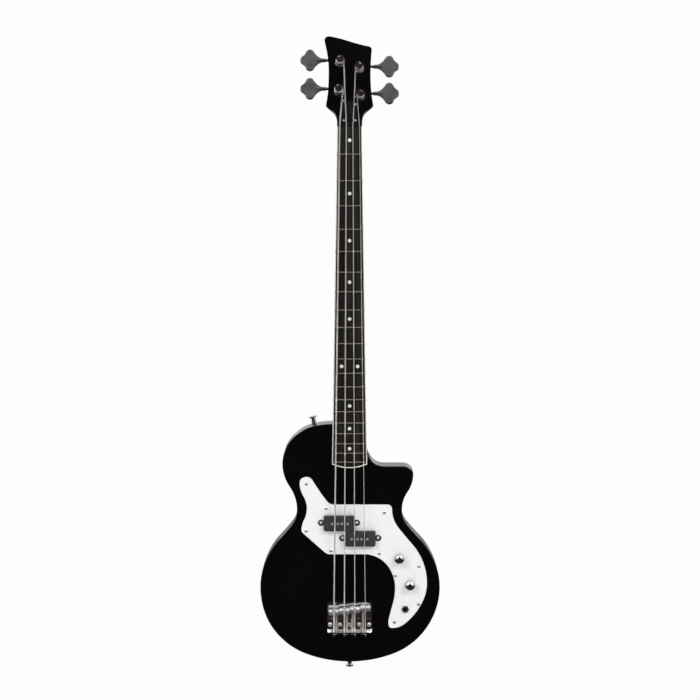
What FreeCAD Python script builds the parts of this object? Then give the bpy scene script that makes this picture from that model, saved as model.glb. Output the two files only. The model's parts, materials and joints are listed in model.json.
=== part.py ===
import FreeCAD, Part
import math
import os

from FreeCAD import Placement, Rotation, Vector

# Electric bass guitar. X to the right, Z up along the neck, the front faces -Y, millimetres.
# The origin is where the tail strap button meets the body, at half the body's depth.

# Clearances
SNUG = 0.05
RUNNING = 0.06
OPEN_GAP = 0.4

# Body
BODY_DEPTH = 42.0
LOWER_BOUT_LEFT = 162.1
LOWER_BOUT_RIGHT = 163.7
LOWER_BOUT_Z = 139.0
LOWER_TURN_X = 138.7
LOWER_TURN_Z = 61.2
WAIST_LEFT = 94.9
WAIST_RIGHT = 94.4
WAIST_Z = 283.6
FLARE_LEFT = 31.2
FLARE_RIGHT = 32.1
FLARE_DROP = 53.6
UPPER_BOUT_LEFT = 120.7
UPPER_BOUT_Z = 367.2
SHOULDER_X = 100.8
SHOULDER_Z = 415.6
BODY_TOP_Z = 440.0
HORN_REACH = 114.5
HORN_Z = 348.4
HORN_TOP_X = 96.2
CUTAWAY_Z = 362.9
CUTAWAY_DIP_X = 62.8
CUTAWAY_NECK_Z = 397.0
HEEL_CORNER = 10.0
BACK_ROUND = 6.0
FRONT_ROUND = 1.6

# Neck and fingerboard
SCALE_LENGTH = 863.6
SADDLE_LINE = 100.1
NUT_HALF_WIDTH = 21.8
FINGERBOARD_END_HALF_WIDTH = 31.4
FINGERBOARD_CORNER_Z = 368.3
FINGERBOARD_END_Z = 361.9
FINGERBOARD_THICKNESS = 6.0
FINGERBOARD_RADIUS = 305.0
BINDING_WIDTH = 1.6
NECK_RISE = 3.0
NECK_DEPTH_AT_NUT = 15.0
NECK_DEPTH_AT_HEEL = 17.6
NECK_ROUNDNESS = 0.6
POCKET_DEPTH = 16.0
HEEL_TOP_Z = 449.0
HEEL_BLEND = 42.0
FRET_COUNT = 20
FRET_WIDTH = 2.4
FRET_HEIGHT = 1.0
FRET_TANG_WIDTH = 0.5
FRET_TANG_DEPTH = 2.0
FRET_TANG_INSET = 0.4
FRET_END_INSET = 0.6
MARKER_RADIUS = 3.1
MARKER_DEPTH = 1.6
MARKER_FRETS = (1, 3, 5, 7, 9, 15, 17, 19)
OCTAVE_FRET = 12
OCTAVE_MARKER_X = 14.2
NUT_LENGTH = 5.0
NUT_SHOULDER = 1.2

# Truss rod
TRUSS_ROD_RADIUS = 3.0
TRUSS_ROD_DEPTH = 8.0
TRUSS_ROD_FOOT = 30.0
TRUSS_NUT_RADIUS = 4.0
TRUSS_NUT_LENGTH = 15.0
TRUSS_NUT_START = 7.5
TRUSS_SOCKET_RADIUS = 1.6
TRUSS_SOCKET_DEPTH = 7.0
TRUSS_CAVITY_HALF_WIDTH = 5.5
TRUSS_CAVITY_TOP = 40.0
COVER_THICKNESS = 2.0
COVER_HALF_WIDTH = 13.2
COVER_BOTTOM = 6.4
COVER_LEFT_TOP = 49.2
COVER_RIGHT_TOP = 41.2
COVER_SCREW_X = 10.0
COVER_SCREW_LOW = 9.8
COVER_SCREW_LEFT = 44.6
COVER_SCREW_RIGHT = 38.4

# Headstock, measured up its own tilted face from the nut line
HEADSTOCK_TILT = 10.0
HEADSTOCK_THICKNESS = 15.0
HEADSTOCK_BLEND = 30.0
HEADSTOCK_POINT_X = 41.0
HEADSTOCK_POINT = 38.5
HEADSTOCK_WAIST_X = 36.4
HEADSTOCK_WAIST = 93.0
HEADSTOCK_RIGHT_X = 38.6
HEADSTOCK_RIGHT_TOP = 136.0
HEADSTOCK_LEFT_X = 43.6
HEADSTOCK_LEFT_TOP = 151.6
HEADSTOCK_EDGE_ROUND = 1.0

# Tuning machines: post places on the headstock face, right to left as the strings run
POST_PLACES = {"e": (-18.6, 62.4), "a": (-16.6, 113.4), "d": (16.6, 102.2), "g": (18.8, 54.0)}
POST_RADIUS = 6.0
POST_WAIST_RADIUS = 5.0
POST_WAIST_START = 6.8
POST_WAIST_END = 19.4
POST_TOP = 22.0
POST_FLANGE_RADIUS = 6.6
POST_SLOT_WIDTH = 3.0
POST_SLOT_DEPTH = 8.0
POST_TAIL_RADIUS = 4.4
BUSHING_RADIUS = 7.0
WASHER_RADIUS = 10.0
WASHER_THICKNESS = 1.0
HEX_ACROSS_FLATS = 17.0
HEX_HEIGHT = 5.0
BASEPLATE_THICKNESS = 1.5
BASEPLATE_HALF_WIDTH = 11.0
BASEPLATE_BELOW = 11.0
BASEPLATE_ABOVE = 17.0
GEAR_TEETH = 18
GEAR_MODULE = 0.8
GEAR_WIDTH = 5.0
GEAR_LIFT = 1.0
WORM_PITCH_RADIUS = 2.8
WORM_CORE_RADIUS = 2.0
WORM_TIP_RADIUS = 3.4
WORM_TURNS = 4
WORM_THREAD_TIP = 0.7
WORM_THREAD_ROOT = 1.3
MESH_GAP = 0.35
MESH_SIDE_GAP = 0.25
EAR_OFFSET = 7.5
EAR_THICKNESS = 1.5
EAR_HALF_WIDTH = 4.0
KEY_SHAFT_RADIUS = 2.4
KEY_SLEEVE_START = 42.0
KEY_SLEEVE_RADIUS = 3.4
KEY_SLEEVE_INTO_BUTTON = 10.4
BUTTON_START = 49.0
BUTTON_LENGTH = 38.2
BUTTON_THICKNESS = 5.6
BUTTON_ROUND = 1.6
BUTTON_LOBE_RADIUS = 8.0
BUTTON_SIDE_LOBE = (20.8, 11.2)
TUNER_SCREW_X = 8.2
TUNER_SCREW_DROP = 8.0

# Strings from the low one to the high one
STRING_NAMES = ("e", "a", "d", "g")
STRING_RADII = (1.33, 1.08, 0.83, 0.57)
NUT_SPACING = 11.3
BRIDGE_SPACING = 19.0
NUT_ACTION = 0.3
SADDLE_ACTION = 4.2
STRING_BEND_RADIUS = 7.0
POST_STRING_GAP = 0.3
POST_WRAP_DEGREES = 190.0
WINDING_TURNS = 1.75
WINDING_GAP = 0.5
BALL_RADIUS = 3.6
BALL_LENGTH = 3.2

# Bridge
BRIDGE_HALF_WIDTH = 40.6
BRIDGE_TAIL_Z = 58.0
BRIDGE_FRONT_Z = 112.9
BRIDGE_THICKNESS = 2.0
BRIDGE_LIP_HEIGHT = 14.0
BRIDGE_GROOVE_HALF_WIDTH = 4.4
BRIDGE_GROOVE_DEPTH = 0.5
BRIDGE_GROOVE_LOW_Z = 82.0
BRIDGE_GROOVE_HIGH_Z = 106.0
BRIDGE_SCREW_PITCH = 17.8
BRIDGE_SCREW_Z = 70.9
SADDLE_STAGGER = (-3.7, -1.2, 1.2, 3.7)
SADDLE_GAP = 0.8
SADDLE_LENGTH = 10.0
SADDLE_HEIGHT = 9.0
SADDLE_CROWN = 9.0
SADDLE_GROOVE_DEPTH = 0.8
HEIGHT_SCREW_INSET = 1.8
HEIGHT_SCREW_RADIUS = 1.25
HEIGHT_SCREW_TIP = 0.8
SCREW_LINE_HEIGHT = 8.0
STRING_HOLE_HEIGHT = 11.0
INTONATION_OFFSET = 4.4
INTONATION_RADIUS = 1.25
INTONATION_HEAD_RADIUS = 2.4
INTONATION_HEAD_LENGTH = 2.6
INTONATION_PAST_SADDLE = 2.0
SPRING_RADIUS = 2.0
SPRING_WIRE_RADIUS = 0.3
SPRING_TURNS = 6
SPRING_END_GAP = 0.3

# Pickguard, pickup and controls
GUARD_THICKNESS = 2.5
GUARD_BEVEL = 0.9
GUARD_SCREW_PLACES = (
    (-77.7, 331.8), (-42.5, 286.9), (62.4, 279.2), (-78.4, 245.5), (-33.4, 208.8),
    (53.5, 203.8), (125.5, 179.9), (82.6, 162.4), (125.3, 109.1), (81.8, 75.7),
)
PICKUP_LENGTH = 54.6
PICKUP_WIDTH = 27.8
PICKUP_OFFSET_X = 19.2
PICKUP_HALVES_GAP = 0.3
PICKUP_LOWER_Z = 231.9
PICKUP_TOP_GAP = 4.0
PICKUP_HEIGHT = 22.0
PICKUP_CORNER = 3.0
PICKUP_WALL = 1.6
PICKUP_EAR_REACH = 4.8
PICKUP_EAR_RADIUS = 5.6
PICKUP_EAR_THICKNESS = 2.5
PICKUP_CAVITY_DEPTH = 26.0
MAGNET_RADIUS = 2.4
MAGNET_LENGTH = 18.0
MAGNET_PAIR = 10.4
COIL_LENGTH = 44.0
COIL_WIDTH = 15.0
COIL_HEIGHT = 12.0
COIL_BORE_LENGTH = 34.0
COIL_BORE_WIDTH = 6.0
VOLUME_PLACE = (90.0, 195.4)
TONE_PLACE = (109.2, 146.2)
JACK_PLACE = (100.9, 100.4)
KNOB_RADIUS = 9.1
KNOB_HEIGHT = 14.5
KNOB_LIFT = 0.8
KNOB_DOME = 5.0
KNOB_WALL = 1.1
KNOB_RECESS_DEPTH = 4.2
POT_RADIUS = 12.0
POT_HEIGHT = 11.0
POT_BUSHING_RADIUS = 4.5
POT_BUSHING_RISE = 3.6
POT_SHAFT_RADIUS = 3.0
POT_SHAFT_RISE = 11.0
POT_SHAFT_SINK = 7.0
POT_NUT_FLATS = 12.0
POT_NUT_HEIGHT = 2.0
JACK_BORE_RADIUS = 3.3
JACK_BARREL_RADIUS = 4.7
JACK_BARREL_RISE = 3.6
JACK_FLANGE_RADIUS = 8.0
JACK_FLANGE_THICKNESS = 2.0
JACK_FRAME_LENGTH = 24.0
JACK_NUT_FLATS = 12.0
JACK_NUT_HEIGHT = 2.4
CONTROL_CAVITY_FLOOR = 7.0
CONTROL_CAVITY_MARGIN = 6.0
WIRE_CHANNEL_DEPTH = 16.0
CAPACITOR_RADIUS = 4.0
CAPACITOR_LENGTH = 14.0
WIRE_RADIUS = 0.8

# Screws and strap buttons: head radius, head height, shank radius, shank length
GUARD_SCREW = (3.0, 1.2, 1.5, 10.0)
COVER_SCREW = (2.0, 1.0, 1.0, 7.0)
TUNER_SCREW = (2.2, 1.2, 1.1, 8.0)
BRIDGE_SCREW = (3.6, 2.2, 1.9, 16.0)
PICKUP_SCREW = (2.8, 1.6, 1.4, 20.0)
NECK_SCREW_BITE = 15.0
FERRULE_DEPTH = 4.0
FERRULE_FLOOR = 1.0
NECK_SCREW = (4.6, 2.6, 2.3, BODY_DEPTH - FERRULE_DEPTH + FERRULE_FLOOR - POCKET_DEPTH + NECK_SCREW_BITE)
STRAP_SCREW = (3.6, 1.6, 2.0, 26.0)
SCREW_RIM_SHARE = 0.4
SCREW_CREST_SHARE = 0.6
NECK_SCREW_X = 19.0
NECK_SCREW_LOW_Z = 382.0
NECK_SCREW_HIGH_Z = 428.0
FERRULE_RADIUS = 7.5
STRAP_HEIGHT = 15.0
STRAP_BASE_RADIUS = 5.6
STRAP_NECK_RADIUS = 3.8
STRAP_FLANGE_RADIUS = 7.0
STRAP_FLANGE_THICKNESS = 2.6
STRAP_BASE_THICKNESS = 3.0
SHOULDER_STRAP_X = -63.0

# Places worked out from the sizes above
FRONT = -BODY_DEPTH / 2
BACK = BODY_DEPTH / 2
NUT_LINE = SADDLE_LINE + SCALE_LENGTH
FINGERBOARD_UNDER = FRONT - NECK_RISE
FINGERBOARD_TOP = FINGERBOARD_UNDER - FINGERBOARD_THICKNESS
FRET_TOP = FINGERBOARD_TOP - FRET_HEIGHT
POCKET_FLOOR = FRONT + POCKET_DEPTH
GUARD_FRONT = FRONT - GUARD_THICKNESS
BRIDGE_FACE = FRONT - BRIDGE_THICKNESS
SCREW_LINE_Y = FRONT - SCREW_LINE_HEIGHT
STRING_HOLE_Y = FRONT - STRING_HOLE_HEIGHT
SADDLE_WIDTH = BRIDGE_SPACING - SADDLE_GAP
HEIGHT_SCREW_OFFSET = SADDLE_WIDTH / 2 - HEIGHT_SCREW_INSET
PICKUP_EAR_X = PICKUP_LENGTH / 2 + PICKUP_EAR_REACH
PICKUP_UPPER_Z = PICKUP_LOWER_Z + PICKUP_WIDTH + PICKUP_HALVES_GAP
CONTROL_CAVITY_DEPTH = BODY_DEPTH - CONTROL_CAVITY_FLOOR
KNOB_RECESS_RADIUS = KNOB_RADIUS - KNOB_WALL
GEAR_RADIUS = GEAR_MODULE * GEAR_TEETH / 2
WORM_PITCH = math.pi * GEAR_MODULE
MESH_DISTANCE = GEAR_RADIUS + WORM_PITCH_RADIUS
GEAR_MID = HEADSTOCK_THICKNESS + BASEPLATE_THICKNESS + GEAR_LIFT + GEAR_WIDTH / 2
HEAD_FRAME = Placement(Vector(0, FINGERBOARD_UNDER, NUT_LINE), Rotation(Vector(1, 0, 0), -HEADSTOCK_TILT))
STRING_X_AT_NUT = [NUT_SPACING * (i - 1.5) for i in range(4)]
STRING_X_AT_BRIDGE = [BRIDGE_SPACING * (i - 1.5) for i in range(4)]
STRAIGHT_TURN = 1e-4
X_AXIS = Vector(1, 0, 0)
Y_AXIS = Vector(0, 1, 0)
Z_AXIS = Vector(0, 0, 1)


# Outlines
def ahead(degrees):
    """Unit direction in the XZ plane, counted from +X towards +Z."""
    turn = math.radians(degrees)
    return Vector(math.cos(turn), 0, math.sin(turn))


def arc_between(start, direction, end):
    """Arc that leaves start along direction and reaches end, or a line if they are in line."""
    chord = end - start
    turn = math.atan2(direction.z, direction.x) - math.atan2(chord.z, chord.x)
    turn = (turn + math.pi) % (2 * math.pi) - math.pi
    if abs(turn) < STRAIGHT_TURN:
        return Part.LineSegment(start, end).toShape()
    side = Vector(-chord.z, 0, chord.x)
    middle = (start + end) * 0.5 + side * (0.5 * math.tan(turn / 2))
    return Part.Arc(start, middle, end).toShape()


def stretch(start, leave, end, arrive):
    """Two tangent arcs, or one line, between two points with given directions."""
    gap = end - start
    way = Vector(gap).normalize()
    if (way - leave).Length < STRAIGHT_TURN and (way - arrive).Length < STRAIGHT_TURN:
        return [Part.LineSegment(start, end).toShape()]
    along = gap.dot(leave + arrive)
    spread = 2 * (1 - leave.dot(arrive))
    if spread < STRAIGHT_TURN:
        reach = gap.dot(gap) / (2 * along)
    else:
        reach = (math.sqrt(along ** 2 + spread * gap.dot(gap)) - along) / spread
    middle = (start + end + (leave - arrive) * reach) * 0.5
    return [arc_between(start, leave, middle), arc_between(end, arrive * -1, middle)]


def outline(knots):
    """Closed wire through knots of x, z, arriving heading and, at a corner, leaving heading."""
    edges = []
    for knot, following in zip(knots, knots[1:] + knots[:1]):
        start = Vector(knot[0], 0, knot[1])
        end = Vector(following[0], 0, following[1])
        edges += stretch(start, ahead(knot[-1]), end, ahead(following[2]))
    return Part.Wire(Part.__sortEdges__(edges))


def prism(wire, front, back):
    """Solid between two depths along Y from an outline drawn at Y = 0."""
    face = Part.Face(wire)
    face.translate(Vector(0, front, 0))
    return face.extrude(Vector(0, back - front, 0))


def box(x0, x1, y0, y1, z0, z1):
    return Part.makeBox(x1 - x0, y1 - y0, z1 - z0, Vector(x0, y0, z0))


def rod(radius, start, direction, length):
    return Part.makeCylinder(radius, length, start, direction)


def hexagon(flats, start, length):
    """Hexagonal bar along -Y with two corners pointing along X."""
    corner = flats / math.sqrt(3)
    points = [start + ahead(60 * i) * corner for i in range(7)]
    return Part.Face(Part.makePolygon(points)).extrude(Vector(0, -length, 0))


def stadium(half_width, x, low_z, high_z, front, back):
    """Slot-shaped solid, long in Z."""
    knots = [
        (x + half_width, low_z + half_width, 90),
        (x + half_width, high_z - half_width, 90),
        (x - half_width, high_z - half_width, 270),
        (x - half_width, low_z + half_width, 270),
    ]
    return prism(outline(knots), front, back)


def rounded_box(x, z, length, width, corner, front, back):
    """Box with rounded upright corners, seen from the front."""
    left, right = x - length / 2, x + length / 2
    low, high = z - width / 2, z + width / 2
    knots = [
        (left + corner, low, 0), (right - corner, low, 0), (right, low + corner, 90),
        (right, high - corner, 90), (right - corner, high, 180), (left + corner, high, 180),
        (left, high - corner, 270), (left, low + corner, 270),
    ]
    return prism(outline(knots), front, back)


def edges_at(shape, y):
    """Edges that lie wholly at one depth."""
    found = []
    for edge in shape.Edges:
        bounds = edge.BoundBox
        if abs(bounds.YMin - y) < 1e-6 and abs(bounds.YMax - y) < 1e-6:
            found.append(edge)
    return found


def on_headstock(shape):
    """Moves a shape drawn on an upright headstock face at Y = 0 to its tilted place."""
    moved = shape.copy()
    moved.Placement = HEAD_FRAME.multiply(moved.Placement)
    return moved


def screw(size, seat, outward):
    """Round-headed screw whose head sits on seat and whose shank points inward."""
    head_radius, head_height, shank_radius, length = size
    rim_height = head_height * SCREW_RIM_SHARE
    rim = rod(head_radius, seat, outward, rim_height)
    crest = Part.makeCone(head_radius, head_radius * SCREW_CREST_SHARE, head_height - rim_height,
                          seat + outward * rim_height, outward)
    return rim.fuse([crest, rod(shank_radius, seat, outward * -1, length)]).removeSplitter()


def screw_hole(size, seat, outward):
    """Pilot hole for a screw's shank, with a little room at its tip."""
    start = seat + outward * OPEN_GAP
    return rod(size[2] + SNUG, start, outward * -1, size[3] + 2 * OPEN_GAP)


def tube(points, bends, radius):
    """Round tube along straight runs joined by tangent arcs of the given radii."""
    edges = []
    start = points[0]
    for corner, following, bend in zip(points[1:-1], points[2:], bends):
        into = (corner - points[points.index(corner) - 1]).normalize()
        out = (following - corner).normalize()
        half_turn = into.getAngle(out) / 2
        cut = bend * math.tan(half_turn)
        arc_start = corner - into * cut
        arc_end = corner + out * cut
        inward = (out - into).normalize()
        middle = corner + inward * (bend / math.cos(half_turn) - bend)
        edges.append(Part.LineSegment(start, arc_start).toShape())
        edges.append(Part.Arc(arc_start, middle, arc_end).toShape())
        start = arc_end
    edges.append(Part.LineSegment(start, points[-1]).toShape())
    return sweep(edges, points[0], points[1] - points[0], radius)


def sweep(edges, start, direction, radius):
    """Round tube along joined edges."""
    ring = Part.Wire(Part.makeCircle(radius, start, direction))
    return Part.Wire(edges).makePipeShell([ring], True, False)


def coil_edges(place, radius, pitch, turns, first, sense):
    """Arcs of a quarter turn each that climb along a helix; place maps angle and height to a point."""
    steps = int(round(turns * 4))
    edges = []
    for step in range(steps):
        points = []
        for part in (0.0, 0.5, 1.0):
            quarter = step + part
            points.append(place(radius, first + sense * quarter * math.pi / 2, pitch * quarter / 4))
        edges.append(Part.Arc(*points).toShape())
    return edges


def least_coil_gap(place, radius, pitch, turns, first, sense, wire_radius):
    """Least distance between neighbouring turns of a wound wire, measured on points."""
    count = 24
    points = []
    for i in range(int(turns * count) + 1):
        points.append(place(radius, first + sense * 2 * math.pi * i / count, pitch * i / count))
    least = pitch * turns
    for i, here in enumerate(points):
        for there in points[i + count // 2:]:
            least = min(least, (there - here).Length)
    return least - 2 * wire_radius


def save(node, *solids):
    shape = solids[0] if len(solids) == 1 else Part.makeCompound(list(solids))
    for solid in shape.Solids:
        if not solid.isValid():
            print("not valid:", node)
    shape.exportStep(os.path.join("parts", node + ".step"))


# Neck and fingerboard
def neck_half_width(z):
    run = (NUT_LINE - z) / (NUT_LINE - FINGERBOARD_CORNER_Z)
    return NUT_HALF_WIDTH + (FINGERBOARD_END_HALF_WIDTH - NUT_HALF_WIDTH) * run


def fret_z(number):
    return NUT_LINE - SCALE_LENGTH * (1 - 2 ** (-number / 12))


def crown(x):
    """How far the curved fingerboard falls away at a distance from its middle."""
    return FINGERBOARD_RADIUS - math.sqrt(FINGERBOARD_RADIUS ** 2 - x ** 2)


def fingerboard_outline(inset, top_z):
    """Tapered outline with a bowed lower end, as far inside the edge as inset."""
    corner_z = FINGERBOARD_CORNER_Z + inset
    low = neck_half_width(corner_z) - inset
    high = neck_half_width(top_z) - inset
    bottom_left = Vector(-low, 0, corner_z)
    bottom_right = Vector(low, 0, corner_z)
    edges = [
        Part.LineSegment(Vector(-high, 0, top_z), bottom_left).toShape(),
        Part.Arc(bottom_left, Vector(0, 0, FINGERBOARD_END_Z + inset), bottom_right).toShape(),
        Part.LineSegment(bottom_right, Vector(high, 0, top_z)).toShape(),
        Part.LineSegment(Vector(high, 0, top_z), Vector(-high, 0, top_z)).toShape(),
    ]
    return Part.Wire(edges)


def playing_surface(radius):
    """Long cylinder whose front is the curved top of the fingerboard."""
    axis = Vector(0, FINGERBOARD_TOP + FINGERBOARD_RADIUS, FINGERBOARD_END_Z - 1)
    return rod(radius, axis, Z_AXIS, NUT_LINE - FINGERBOARD_END_Z + 2)


def marker_places():
    places = []
    for number in MARKER_FRETS:
        places.append((0, (fret_z(number) + fret_z(number - 1)) / 2))
    octave = (fret_z(OCTAVE_FRET) + fret_z(OCTAVE_FRET - 1)) / 2
    return places + [(-OCTAVE_MARKER_X, octave), (OCTAVE_MARKER_X, octave)]


def fingerboard_parts():
    surface = playing_surface(FINGERBOARD_RADIUS)
    whole = prism(fingerboard_outline(0, NUT_LINE), FINGERBOARD_TOP - 1, FINGERBOARD_UNDER).common(surface)
    inner = prism(fingerboard_outline(BINDING_WIDTH, NUT_LINE), FINGERBOARD_TOP - 1, FINGERBOARD_UNDER)
    board = whole.common(inner)
    binding = whole.cut(inner)
    cuts = []
    for number in range(1, FRET_COUNT + 1):
        z = fret_z(number)
        reach = neck_half_width(z) - BINDING_WIDTH - FRET_TANG_INSET + SNUG
        half = FRET_TANG_WIDTH / 2 + SNUG
        floor = FINGERBOARD_TOP + FRET_TANG_DEPTH + SNUG
        cuts.append(box(-reach, reach, FINGERBOARD_TOP - 1, floor, z - half, z + half))
    markers = []
    for x, z in marker_places():
        top = Vector(x, FINGERBOARD_TOP - 1, z)
        depth = MARKER_DEPTH + 1 + crown(x)
        cuts.append(rod(MARKER_RADIUS + SNUG, top, Y_AXIS, depth + SNUG))
        markers.append(rod(MARKER_RADIUS, top, Y_AXIS, depth).common(surface))
    return board.cut(cuts), binding, markers


def fret_wire(number):
    """One fret: a bowed crown over the board and a tang in its slot."""
    z = fret_z(number)
    half = FRET_WIDTH / 2
    foot = FINGERBOARD_TOP - SNUG / 2
    low = Vector(0, foot, z - half)
    high = Vector(0, foot, z + half)
    top = Vector(0, FRET_TOP, z)
    profile = Part.Face(Part.Wire([Part.Arc(low, top, high).toShape(), Part.LineSegment(high, low).toShape()]))
    axis = Vector(0, FINGERBOARD_TOP + FINGERBOARD_RADIUS, z)
    swing = math.degrees((neck_half_width(z) - FRET_END_INSET) / FINGERBOARD_RADIUS)
    profile.rotate(axis, Z_AXIS, -swing)
    wire = profile.revolve(axis, Z_AXIS, 2 * swing)
    reach = neck_half_width(z) - BINDING_WIDTH - FRET_TANG_INSET
    tang_half = FRET_TANG_WIDTH / 2
    tang = box(-reach, reach, FINGERBOARD_TOP - 1, FINGERBOARD_TOP + FRET_TANG_DEPTH, z - tang_half, z + tang_half)
    return wire.fuse(tang.common(playing_surface(FINGERBOARD_RADIUS + SNUG))).removeSplitter()


def neck_section(half_width, depth, squareness, z):
    """Flat-topped section of the neck's back; squareness 0.55 is round and 1 is a box."""
    top = FINGERBOARD_UNDER
    bottom = top + depth
    left = Vector(-half_width, top, z)
    right = Vector(half_width, top, z)
    low = Vector(0, bottom, z)
    curve_right = Part.BezierCurve()
    curve_right.setPoles([
        right, Vector(half_width, top + depth * squareness, z), Vector(half_width * squareness, bottom, z), low,
    ])
    curve_left = Part.BezierCurve()
    curve_left.setPoles([
        low, Vector(-half_width * squareness, bottom, z), Vector(-half_width, top + depth * squareness, z), left,
    ])
    return Part.Wire([Part.LineSegment(left, right).toShape(), curve_right.toShape(), curve_left.toShape()])


def headstock_outline():
    slope = math.degrees(math.atan2(
        HEADSTOCK_RIGHT_TOP - HEADSTOCK_LEFT_TOP, HEADSTOCK_RIGHT_X + HEADSTOCK_LEFT_X)) + 180
    corner = 5.0
    flare_x = 26.8
    flare = 24.5
    nut_x = NUT_HALF_WIDTH - 0.4
    top_run = ahead(slope)
    top_right = Vector(HEADSTOCK_RIGHT_X, 0, HEADSTOCK_RIGHT_TOP + corner)
    top_left = Vector(-HEADSTOCK_LEFT_X, 0, HEADSTOCK_LEFT_TOP + 2 * corner)
    from_right = top_right + top_run * corner
    to_left = top_left - top_run * (2 * corner)
    return outline([
        (nut_x, 0, 0, 90),
        (flare_x, flare, 55),
        (HEADSTOCK_POINT_X, HEADSTOCK_POINT, 46, 101),
        (HEADSTOCK_WAIST_X, HEADSTOCK_WAIST, 90),
        (HEADSTOCK_RIGHT_X, HEADSTOCK_RIGHT_TOP, 86),
        (from_right.x, from_right.z, slope),
        (to_left.x, to_left.z, slope),
        (-HEADSTOCK_LEFT_X, HEADSTOCK_LEFT_TOP, 284),
        (-HEADSTOCK_WAIST_X, HEADSTOCK_WAIST + corner, 270),
        (-HEADSTOCK_POINT_X, HEADSTOCK_POINT, 258, 314),
        (-flare_x, flare, 305),
        (-nut_x, 0, 270, 0),
    ])


def headstock():
    """Tilted plate whose back grows out of the round neck."""
    plate = prism(headstock_outline(), 0, HEADSTOCK_THICKNESS)
    plate = plate.makeFillet(HEADSTOCK_EDGE_ROUND, edges_at(plate, HEADSTOCK_THICKNESS)[2:-2])
    lift = Vector(0, -FINGERBOARD_UNDER, 0)
    wide = BASEPLATE_HALF_WIDTH + HEADSTOCK_LEFT_X
    root = neck_section(NUT_HALF_WIDTH, NECK_DEPTH_AT_NUT, NECK_ROUNDNESS, 0)
    flat = neck_section(wide, HEADSTOCK_THICKNESS, 0.98, HEADSTOCK_BLEND)
    root.translate(lift)
    flat.translate(lift)
    blend = Part.makeLoft([root, flat], True, True)
    above = box(-wide, wide, 0, HEADSTOCK_THICKNESS, HEADSTOCK_BLEND, HEADSTOCK_LEFT_TOP * 2)
    return plate.common(blend.fuse(above))


def heel_outline(top_z):
    return fingerboard_outline(0, top_z)


def neck():
    blend_z = HEEL_TOP_Z + HEEL_BLEND
    heel_depth = POCKET_FLOOR - FINGERBOARD_UNDER
    at_nut = neck_section(NUT_HALF_WIDTH, NECK_DEPTH_AT_NUT, NECK_ROUNDNESS, NUT_LINE)
    at_blend = neck_section(neck_half_width(blend_z), NECK_DEPTH_AT_HEEL, NECK_ROUNDNESS, blend_z)
    at_heel = neck_section(neck_half_width(HEEL_TOP_Z), heel_depth, 0.98, HEEL_TOP_Z)
    shaft = Part.makeLoft([at_nut, at_blend], True, True)
    heel_blend = Part.makeLoft([at_blend, at_heel], True, True)
    heel = prism(heel_outline(HEEL_TOP_Z), FINGERBOARD_UNDER, POCKET_FLOOR)
    root = neck_section(NUT_HALF_WIDTH, NECK_DEPTH_AT_NUT, NECK_ROUNDNESS, NUT_LINE)
    tip = root.copy()
    tip.translate(Vector(0, 0, NUT_LENGTH))
    stub = Part.makeLoft([root, tip], True, True)
    seat = box(-NUT_HALF_WIDTH, NUT_HALF_WIDTH, FINGERBOARD_UNDER, BACK, NUT_LINE, NUT_LINE + NUT_LENGTH)
    whole = shaft.fuse([heel_blend, heel, stub.common(seat), on_headstock(headstock())]).removeSplitter()
    cuts = [truss_channel(), truss_cavity()]
    for x, z in POST_PLACES.values():
        hole = rod(BUSHING_RADIUS + SNUG, Vector(x, -1, z), Y_AXIS, HEADSTOCK_THICKNESS + 2)
        cuts.append(on_headstock(hole))
    for seat, outward in cover_screw_seats():
        cuts.append(screw_hole(COVER_SCREW, seat, outward))
    for seat, outward in tuner_screw_seats():
        cuts.append(screw_hole(TUNER_SCREW, seat, outward))
    for seat in neck_screw_seats():
        cuts.append(screw_hole(NECK_SCREW, seat, Y_AXIS))
    return whole.cut(cuts)


def truss_channel():
    half = TRUSS_ROD_RADIUS + SNUG
    low = FINGERBOARD_END_Z + TRUSS_ROD_FOOT
    floor = FINGERBOARD_UNDER + TRUSS_ROD_DEPTH + half
    return box(-half, half, FINGERBOARD_UNDER, floor, low, NUT_LINE + TRUSS_NUT_START)


def truss_cavity():
    half = TRUSS_CAVITY_HALF_WIDTH
    floor = TRUSS_ROD_DEPTH + TRUSS_NUT_RADIUS + 1
    cavity = box(-half, half, -1, floor, TRUSS_NUT_START - 1, TRUSS_CAVITY_TOP)
    return on_headstock(cavity)


def truss_rod():
    low = FINGERBOARD_END_Z + TRUSS_ROD_FOOT
    length = NUT_LINE + TRUSS_NUT_START + TRUSS_NUT_LENGTH - TRUSS_SOCKET_DEPTH - low - 1
    return rod(TRUSS_ROD_RADIUS, Vector(0, FINGERBOARD_UNDER + TRUSS_ROD_DEPTH, low), Z_AXIS, length)


def truss_rod_nut():
    start = Vector(0, FINGERBOARD_UNDER + TRUSS_ROD_DEPTH, NUT_LINE + TRUSS_NUT_START)
    barrel = rod(TRUSS_NUT_RADIUS, start, Z_AXIS, TRUSS_NUT_LENGTH)
    bore = rod(TRUSS_ROD_RADIUS + RUNNING, start, Z_AXIS, TRUSS_NUT_LENGTH - TRUSS_SOCKET_DEPTH - 0.5)
    corners = []
    for i in range(7):
        turn = math.pi * i / 3
        corners.append(start + Vector(math.cos(turn), math.sin(turn), 0) * TRUSS_SOCKET_RADIUS)
    socket = Part.Face(Part.makePolygon(corners)).extrude(Vector(0, 0, TRUSS_SOCKET_DEPTH))
    socket.translate(Vector(0, 0, TRUSS_NUT_LENGTH - TRUSS_SOCKET_DEPTH + 0.5))
    return barrel.cut([bore, socket])


def cover_places():
    return [
        (-COVER_SCREW_X, COVER_SCREW_LOW), (COVER_SCREW_X, COVER_SCREW_LOW),
        (-COVER_SCREW_X, COVER_SCREW_LEFT), (COVER_SCREW_X, COVER_SCREW_RIGHT),
    ]


def head_point(x, n, t):
    """Point on the headstock: x across, n forward of its face, t up it."""
    return HEAD_FRAME.multVec(Vector(x, -n, t))


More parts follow.
